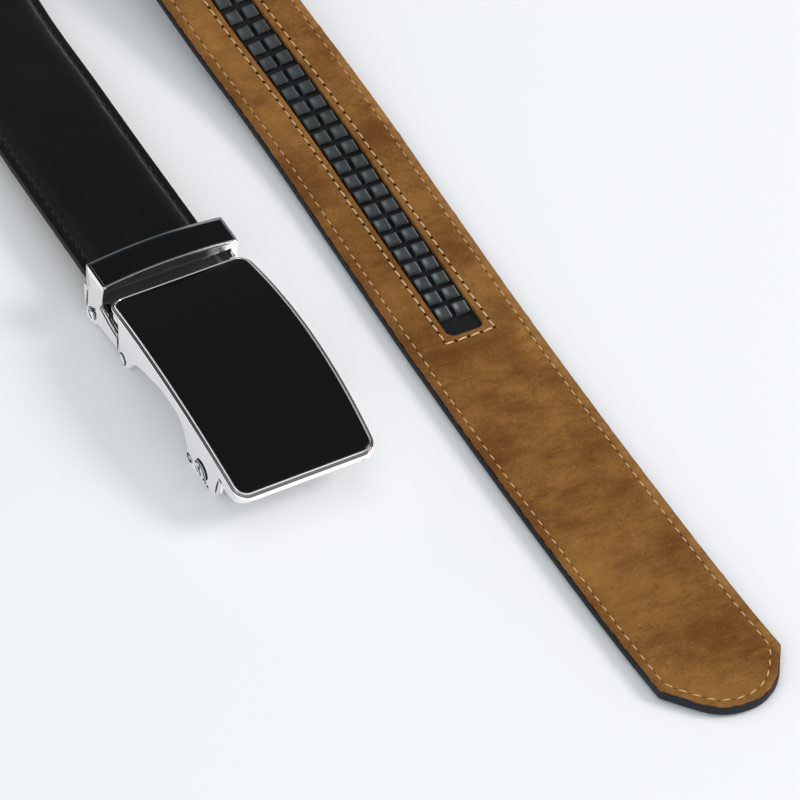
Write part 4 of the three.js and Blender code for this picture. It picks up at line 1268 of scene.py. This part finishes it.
yz = np.concatenate(
    [
        top_line * (1 - t) + inner_line * t,
        lower + EDGE_ROUND * upward * (1 - np.sin(turn)),
        np.stack([lower, lower, top_line]),
    ]
)


def cheek_x(y, z):
    """Distance of a cheek's outer face from the buckle's middle."""
    return leaned(half_width(y, RIM_PLAN), y, z) + 0.02


x = cheek_x(yz[..., 0], yz[..., 1])
x[DOWN : DOWN + ROUND] -= EDGE_ROUND * (1 - np.cos(turn[:, 0]))
x[DOWN + ROUND :] = np.minimum(CHANNEL, x[DOWN + ROUND - 1])
side_points = np.stack([x, yz[..., 0], yz[..., 1]], -1)
for side_name, side in [("left", -1), ("right", 1)]:
    points = (side_points * [side, 1, 1])[:, :: -side]
    cheek = grid_object("buckle_cheek_" + side_name, points, chrome)
    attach(cheek, "buckle")
print("cheeks", 2 * len(cheek.data.polygons), "quads")

# %% [markdown]
# ### Marks on the side faces
#
# Round each pin there is a gap of painted shade, darkest towards the top front, with a
# narrow bright ring in it. Dark lines of painted shade stand for the gaps between parts that lie
# side by side, and dark spots for small holes.


# %% Side marks
def ear_x(y, z):
    """Distance of the clamp's outer face from its middle."""
    return 20.22 + 0 * y


def on_sides(name, y, z, rise, face, material, body, close=False):
    """The same grid of (y, z) on both outer faces, at a height above them."""
    x = face(y, z) + rise
    for side_name, side in [("left", -1), ("right", 1)]:
        points = np.stack([side * x, y, z], -1)[:, ::side]
        made = grid_object(f"{name}_{side_name}", points, material, close_columns=close)
        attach(made, body)


def crescent(name, centre, inner, outer, away, rise, face, body):
    """Painted shade: the dark band between a circle and a larger one, whose centre lies off by away."""
    a = np.linspace(0, 2 * math.pi, 40, endpoint=False)
    t = np.linspace(0, 1, 4)[:, None]
    y = centre[0] + (inner + (outer - inner) * t) * np.cos(a) + away[0] * t
    z = centre[1] + (inner + (outer - inner) * t) * np.sin(a) + away[1] * t
    on_sides(name, y, z, rise + 0 * t, face, shadow_gap, body, close=True)


def bead(name, centre, radius, width, span, rise, face, body):
    """A rounded bright ring, or a part of one, that stands on a side face."""
    a = np.linspace(span[0], span[1], 40)
    section = np.linspace(0, math.pi, 7)[:, None]
    r = radius - width / 2 * np.cos(section)
    y, z = centre[0] + r * np.cos(a), centre[1] + r * np.sin(a)
    on_sides(name, y, z, rise + width * 0.35 * np.sin(section), face, chrome, body)


def stripe(name, line, width, rise, face, material, body, bulge=0.0):
    """A narrow band along a line on a side face, tapered at both ends."""
    count = 24
    y, z = evenly(np.asarray(line, float), count).T
    dy, dz = np.gradient(y), np.gradient(z)
    length = np.hypot(dy, dz)
    t = np.linspace(-1, 1, 5)[:, None]
    half = width / 2 * np.sqrt(np.sin(math.pi * (0.04 + 0.92 * np.linspace(0, 1, count))))
    y, z = y - t * half * dz / length, z + t * half * dy / length
    on_sides(name, y, z, rise + bulge * (1 - t**2), face, material, body)


full = (0, 2 * math.pi)
crescent("pawl_gap", PAWL_AXIS, 2.3, 3.2, (-0.9, 0.95), 0.24, cheek_x, "buckle")
bead("pawl_ring", (-59.3, 4.9), 3.0, 0.3, (0.6, 3.6), 0.24, cheek_x, "buckle")
stripe("pawl_slot", [(-57.9, 5.4), (-58.6, 4.2), (-60.2, 2.4)], 0.7, 0.27, cheek_x, shadow_gap, "buckle")
crescent("stop_gap", (-52.7, 3.5), 0.7, 1.55, (0.1, -0.1), 0.03, cheek_x, "buckle")
bead("stop_ring", (-52.6, 3.4), 1.75, 0.3, full, 0.02, cheek_x, "buckle")
crescent("hinge_gap", (-10.5, 2.6), 1.5, 1.95, (-0.3, 0.3), 0.14, cheek_x, "buckle")
# Two small dark spots of painted shade on each front leg stand for small holes.
for k, spot in enumerate([(-61.5, 2.0), (-62.7, 1.5)]):
    crescent(f"leg_hole_{k}", spot, 0.02, 0.5, (0, 0), 0.03, cheek_x, "buckle")
stripe("rear_gap", [(-8.0, 7.6), (-7.9, 3.6)], 0.55, 0.02, ear_x, shadow_gap, "buckle")
crescent("jaw_pin_gap", JAW_AXIS, 1.9, 2.05, (-0.05, 0.25), 0.02, ear_x, "strap")
stripe("jaw_pin_slot", [(8.9, 4.6), (8.0, 3.9), (6.7, 3.0)], 0.75, 0.85, ear_x, shadow_gap, "strap")
stripe("jaw_slit", [(10.3, 10.6), (11.0, 6.8), (11.5, 3.4)], 0.5, 0.03, ear_x, shadow_gap, "strap")
# A patch low on each ear takes the front wall's painted reflection: dark on the left side, plain plating on
# the right.
panel = np.array([[(1.5, 12.55), (-2.7, 12.55)], [(1.9, 11.5), (-2.7, 10.55)]])
on_sides("arm_panel", panel[..., 0], panel[..., 1], 0.02, ear_x, front_painted_reflection, "strap")
stripe("arm_edge", [(2.1, 11.5), (-2.4, 10.45), (-7.5, 9.3)], 0.6, 0.04, ear_x, chrome, "strap", 0.15)
stripe("arm_line", [(2.8, 10.6), (-2.4, 9.4), (-7.9, 8.1)], 1.4, 0.03, ear_x, shadow_gap, "strap")
stripe("leg_line", [(-69.8, 10.3), (-68.6, 7.0), (-67.3, 3.4)], 0.75, 0.03, cheek_x, shadow_gap, "buckle")
stripe("notch_top", [(-70.2, 11.6), (-71.8, 11.2)], 1.0, 0.03, cheek_x, shadow_gap, "buckle")

# %% [markdown]
# ### Cross bar
#
# A plain bar with rounded edges joins the two front legs inside.


# %% Cross bar
def rounded_box(x, y, z, r):
    """A box with rounded edges, as a grid: an outline in y and z, run along x with its ends
    drawn in."""
    a = np.linspace(0, math.pi / 2, 5)
    centres = [
        (y[1] - r, z[1] - r),
        (y[0] + r, z[1] - r),
        (y[0] + r, z[0] + r),
        (y[1] - r, z[0] + r),
    ]
    quarters = []
    for k, centre in enumerate(centres):
        turned = a + k * math.pi / 2
        quarters.append(centre + r * np.stack([np.cos(turned), np.sin(turned)], -1))
    ring = np.concatenate(quarters)
    middle = np.array([sum(y) / 2, sum(z) / 2])
    stops = [(x[0], 0.0), (x[0], 0.9), (x[0] + r, 1.0), (x[1] - r, 1.0), (x[1], 0.9), (x[1], 0.0)]
    rows = []
    for at, share in stops:
        outline = middle + (ring - middle) * share
        rows.append(np.concatenate([np.full((len(ring), 1), at), outline], 1))
    return np.stack(rows)


points = rounded_box((-18.4, 18.4), (-68.8, -66.9), (4.9, 10.2), 0.35)
bar = grid_object("buckle_cross_bar", points, chrome, close_columns=True)
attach(bar, "buckle")
print("cross bar", len(bar.data.polygons), "quads")

# %% [markdown]
# ## Clamp's bar
#
# Skins lie on the clamp's bar: a swept trim, the inlay, which replaces its solid, the front
# wall, painted with a reflection of the dark buckle, and the shelf behind the buckle, painted
# dark for the shade it lies in.


# %% Clamp's bar
BAR_END, BAR_RISE, BAR_UNDERSIDE = 19.8, 1.6, 17.9
BAR_PLAN = (0.0, 10.2, 20.2, 0.0, 0.8)
BAR_RADIUS = BAR_PLAN[2] ** 2 / (2 * BAR_RISE) + BAR_RISE / 2


def on_bar(x, y, depth):
    """The bar's top is arched across the belt."""
    return np.stack([x, y, BAR_END + BAR_RISE - BAR_RADIUS + np.sqrt((BAR_RADIUS - depth) ** 2 - x**2)], -1)


bar_profile = [
    (-0.03, 1.5), (-0.04, 1.0), (-0.04, 0.30), (-0.02, 0.10), (0.04, -0.08), (0.12, -0.18),
    (0.20, -0.22), (0.32, -0.22), (0.38, -0.20), (0.54, -0.09), (0.66, -0.04), (0.80, -0.04),
    (1.45, -0.04),
]
INLAY_PLAN = (0.82, 9.38, 19.15, 0.0, 0.25)
sweep("clamp_trim", bar_profile, BAR_PLAN, on_bar, bar_chrome, "strap", along=16, across=60)
points = plan_grid(INLAY_PLAN, on_bar, -0.10, 0.06, 24, 80)
inlay = grid_object("clamp_inlay_top", points, gloss)
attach(inlay, "strap")
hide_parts("clamp_inlay")

WALL_Y, WALL_FOOT, WALL_TOP, WALL_SLOPE = -0.07, 12.65, 19.0, 1.3
x = np.linspace(-20.0, 20.0, 81)
top = on_bar(x, 0 * x, 0.5)[:, 2]
t = np.linspace(0, 1, 8)[:, None]
wall = np.stack([x + 0 * t, WALL_Y + 0 * x * t, BAR_UNDERSIDE + (top - BAR_UNDERSIDE) * t], -1)
front_parts = [wall]
for side in (-1, 1):
    across = np.array([18.2, 19.0, 20.05])[::side] * side
    z = np.linspace(WALL_FOOT, WALL_TOP, 12)[:, None]
    y = np.maximum(WALL_TOP - z, 0) / 6.4 * WALL_SLOPE + WALL_Y
    front_parts.append(np.stack([across + 0 * z, y + 0 * across, z + 0 * across], -1))
for k, points in enumerate(front_parts):
    part = grid_object(f"clamp_front_{k}", points, front_painted_reflection)
    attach(part, "strap")

x, y = np.meshgrid(np.linspace(-18.15, 18.15, 60), np.linspace(-2.55, 9.9, 20))
shelf = grid_object("clamp_shelf", np.stack([x, y, 12.53 + 0 * x], -1), shelf_painted, np.stack([x, y], -1))
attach(shelf, "strap")
print("inlay", len(inlay.data.polygons), "quads, front wall in", len(front_parts), "parts")

# %% [markdown]
# ## Clamp, jaw, pawl and pins
#
# These are the CAD's own nodes, with their sharp edges rounded.


# %% Metal nodes
def soften(node, material, width):
    """A CAD node with its material and its sharp edges rounded."""
    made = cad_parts[node]
    made.data.materials.clear()
    made.data.materials.append(material)
    made.data.polygons.foreach_set("use_smooth", [True] * len(made.data.polygons))
    weld = made.modifiers.new("weld", "WELD")
    weld.merge_threshold = 0.00001
    bevel = made.modifiers.new("round", "BEVEL")
    bevel.width = width / 1000
    bevel.segments = 3
    bevel.limit_method = "ANGLE"
    bevel.angle_limit = math.radians(28)
    bevel.harden_normals = True


nodes = [("clamp_housing", clamp_chrome, 0.15)]
nodes += [(node, chrome, 0.12) for node in ("clamp_jaw", "ratchet_pawl", "pawl_pin")]
for side_name in ("left", "right"):
    nodes.append((f"jaw_pin_{side_name}", cast_chrome, 0.08))
    nodes += [(f"{pin}_{side_name}", chrome, 0.08) for pin in ("hinge_rivet", "stop_pin")]
for node, material, width in nodes:
    soften(node, material, width)
print(len(nodes), "CAD nodes with rounded edges")

# %% [markdown]
# ## Studio
#
# A pale floor, a soft sky, and a large soft key light from the right, which throws faint cool
# shadows to the left. Weaker lights from the left and from above fill them in, and a glow just
# over the floor shows only in reflections.

# %% Studio
floor_paint = Shader("floor_paint").surface(
    Base_Color=(0.93, 0.935, 0.945),
    Roughness=0.9,
    Specular_IOR_Level=0.1,
)
corners = np.array([(-6, -6, 0), (6, -6, 0), (6, 6, 0), (-6, 6, 0)])
floor = new_object("floor", corners, [(0, 1, 2, 3)], floor_paint)
floor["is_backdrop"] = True

sky = Shader("sky", bpy.data.worlds)
toward = sky.node("TexCoord", output=0)
overhead = sky.node("VectorMath", {"operation": "DOT_PRODUCT"}, [toward, (0.22, 0.62, 0.75)], output=1)
strength = overhead.between(0.30, 0.80, 0.72, 0.22)
low = sky.parts(toward)[2].between(0.02, 0.36, 0.9, 0.0)
backdrop = sky.node("Background", inputs={"Color": (0.89, 0.975, 1.0, 1.0), "Strength": strength + low})
sky.node("OutputWorld", inputs={"Surface": backdrop})
bpy.context.scene.world = sky.material


def area_light(name, place, target, size, power, color):
    """A rectangular light at place, in metres, that faces the target and isn't seen itself."""
    data = bpy.data.lights.new(name, "AREA")
    data.shape = "RECTANGLE"
    data.size, data.size_y = size
    data.energy = power
    data.color = color
    made = bpy.data.objects.new(name, data)
    made.location = place
    made.rotation_mode = "QUATERNION"
    made.rotation_quaternion = (Vector(target) - Vector(place)).to_track_quat("-Z", "Y")
    made.visible_camera = False
    bpy.context.scene.collection.objects.link(made)
    return made


target = in_row([36.4, -63.2, 0.0])
area_light("key", target + [1.70, -1.0, 1.6], target, (0.9, 0.9), 28.9, (1.0, 0.918, 0.918))
area_light("fill", target + [-1.6, -1.7, 1.9], target, (2.4, 2.0), 15.0, (0.94, 0.985, 1.0))
top = area_light("top", target + [0.1, 0.5, 2.6], target, (2.4, 2.4), 15.5, (1.0, 0.98, 1.0))
top.visible_glossy = False
low, above = target + [0, 0, 0.0003], target + [0, 0, 1]
glow = area_light("floor_glow", low, above, (2.0, 2.0), 3.8, (0.97, 0.985, 1.0))
glow.visible_diffuse = False
glow.visible_transmission = False
print(len(bpy.data.lights), "lights")

# %% [markdown]
# ## Camera
#
# The view was fitted to the photo: far away and long, from the left of the free ends, 45
# degrees above the table.

# %% Camera
AZIMUTH, ELEVATION, DISTANCE = math.radians(-27.528), math.radians(45.421), 1.59202
back = Vector(
    (
        math.sin(AZIMUTH) * math.cos(ELEVATION),
        -math.cos(AZIMUTH) * math.cos(ELEVATION),
        math.sin(ELEVATION),
    )
)
data = bpy.data.cameras.new("camera")
data.sensor_width = 36
data.lens = 270
data.clip_start, data.clip_end = 0.05, 50
camera = bpy.data.objects.new("camera", data)
camera.location = Vector(in_row([36.436, -63.194, 7.8])) + back * DISTANCE
camera.rotation_mode = "QUATERNION"
camera.rotation_quaternion = (-back).to_track_quat("-Z", "Y")
bpy.context.scene.collection.objects.link(camera)
bpy.context.scene.camera = camera
bpy.context.scene.view_settings.view_transform = "Standard"
bpy.context.scene.view_settings.look = "None"
print("camera at", [round(x, 3) for x in camera.location])

# %% [markdown]
# ## Size
#
# The finished object's box is worked out and printed.

# %% Size
low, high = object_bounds()
print("visual box", [round(x, 4) for x in (*low, *high)])
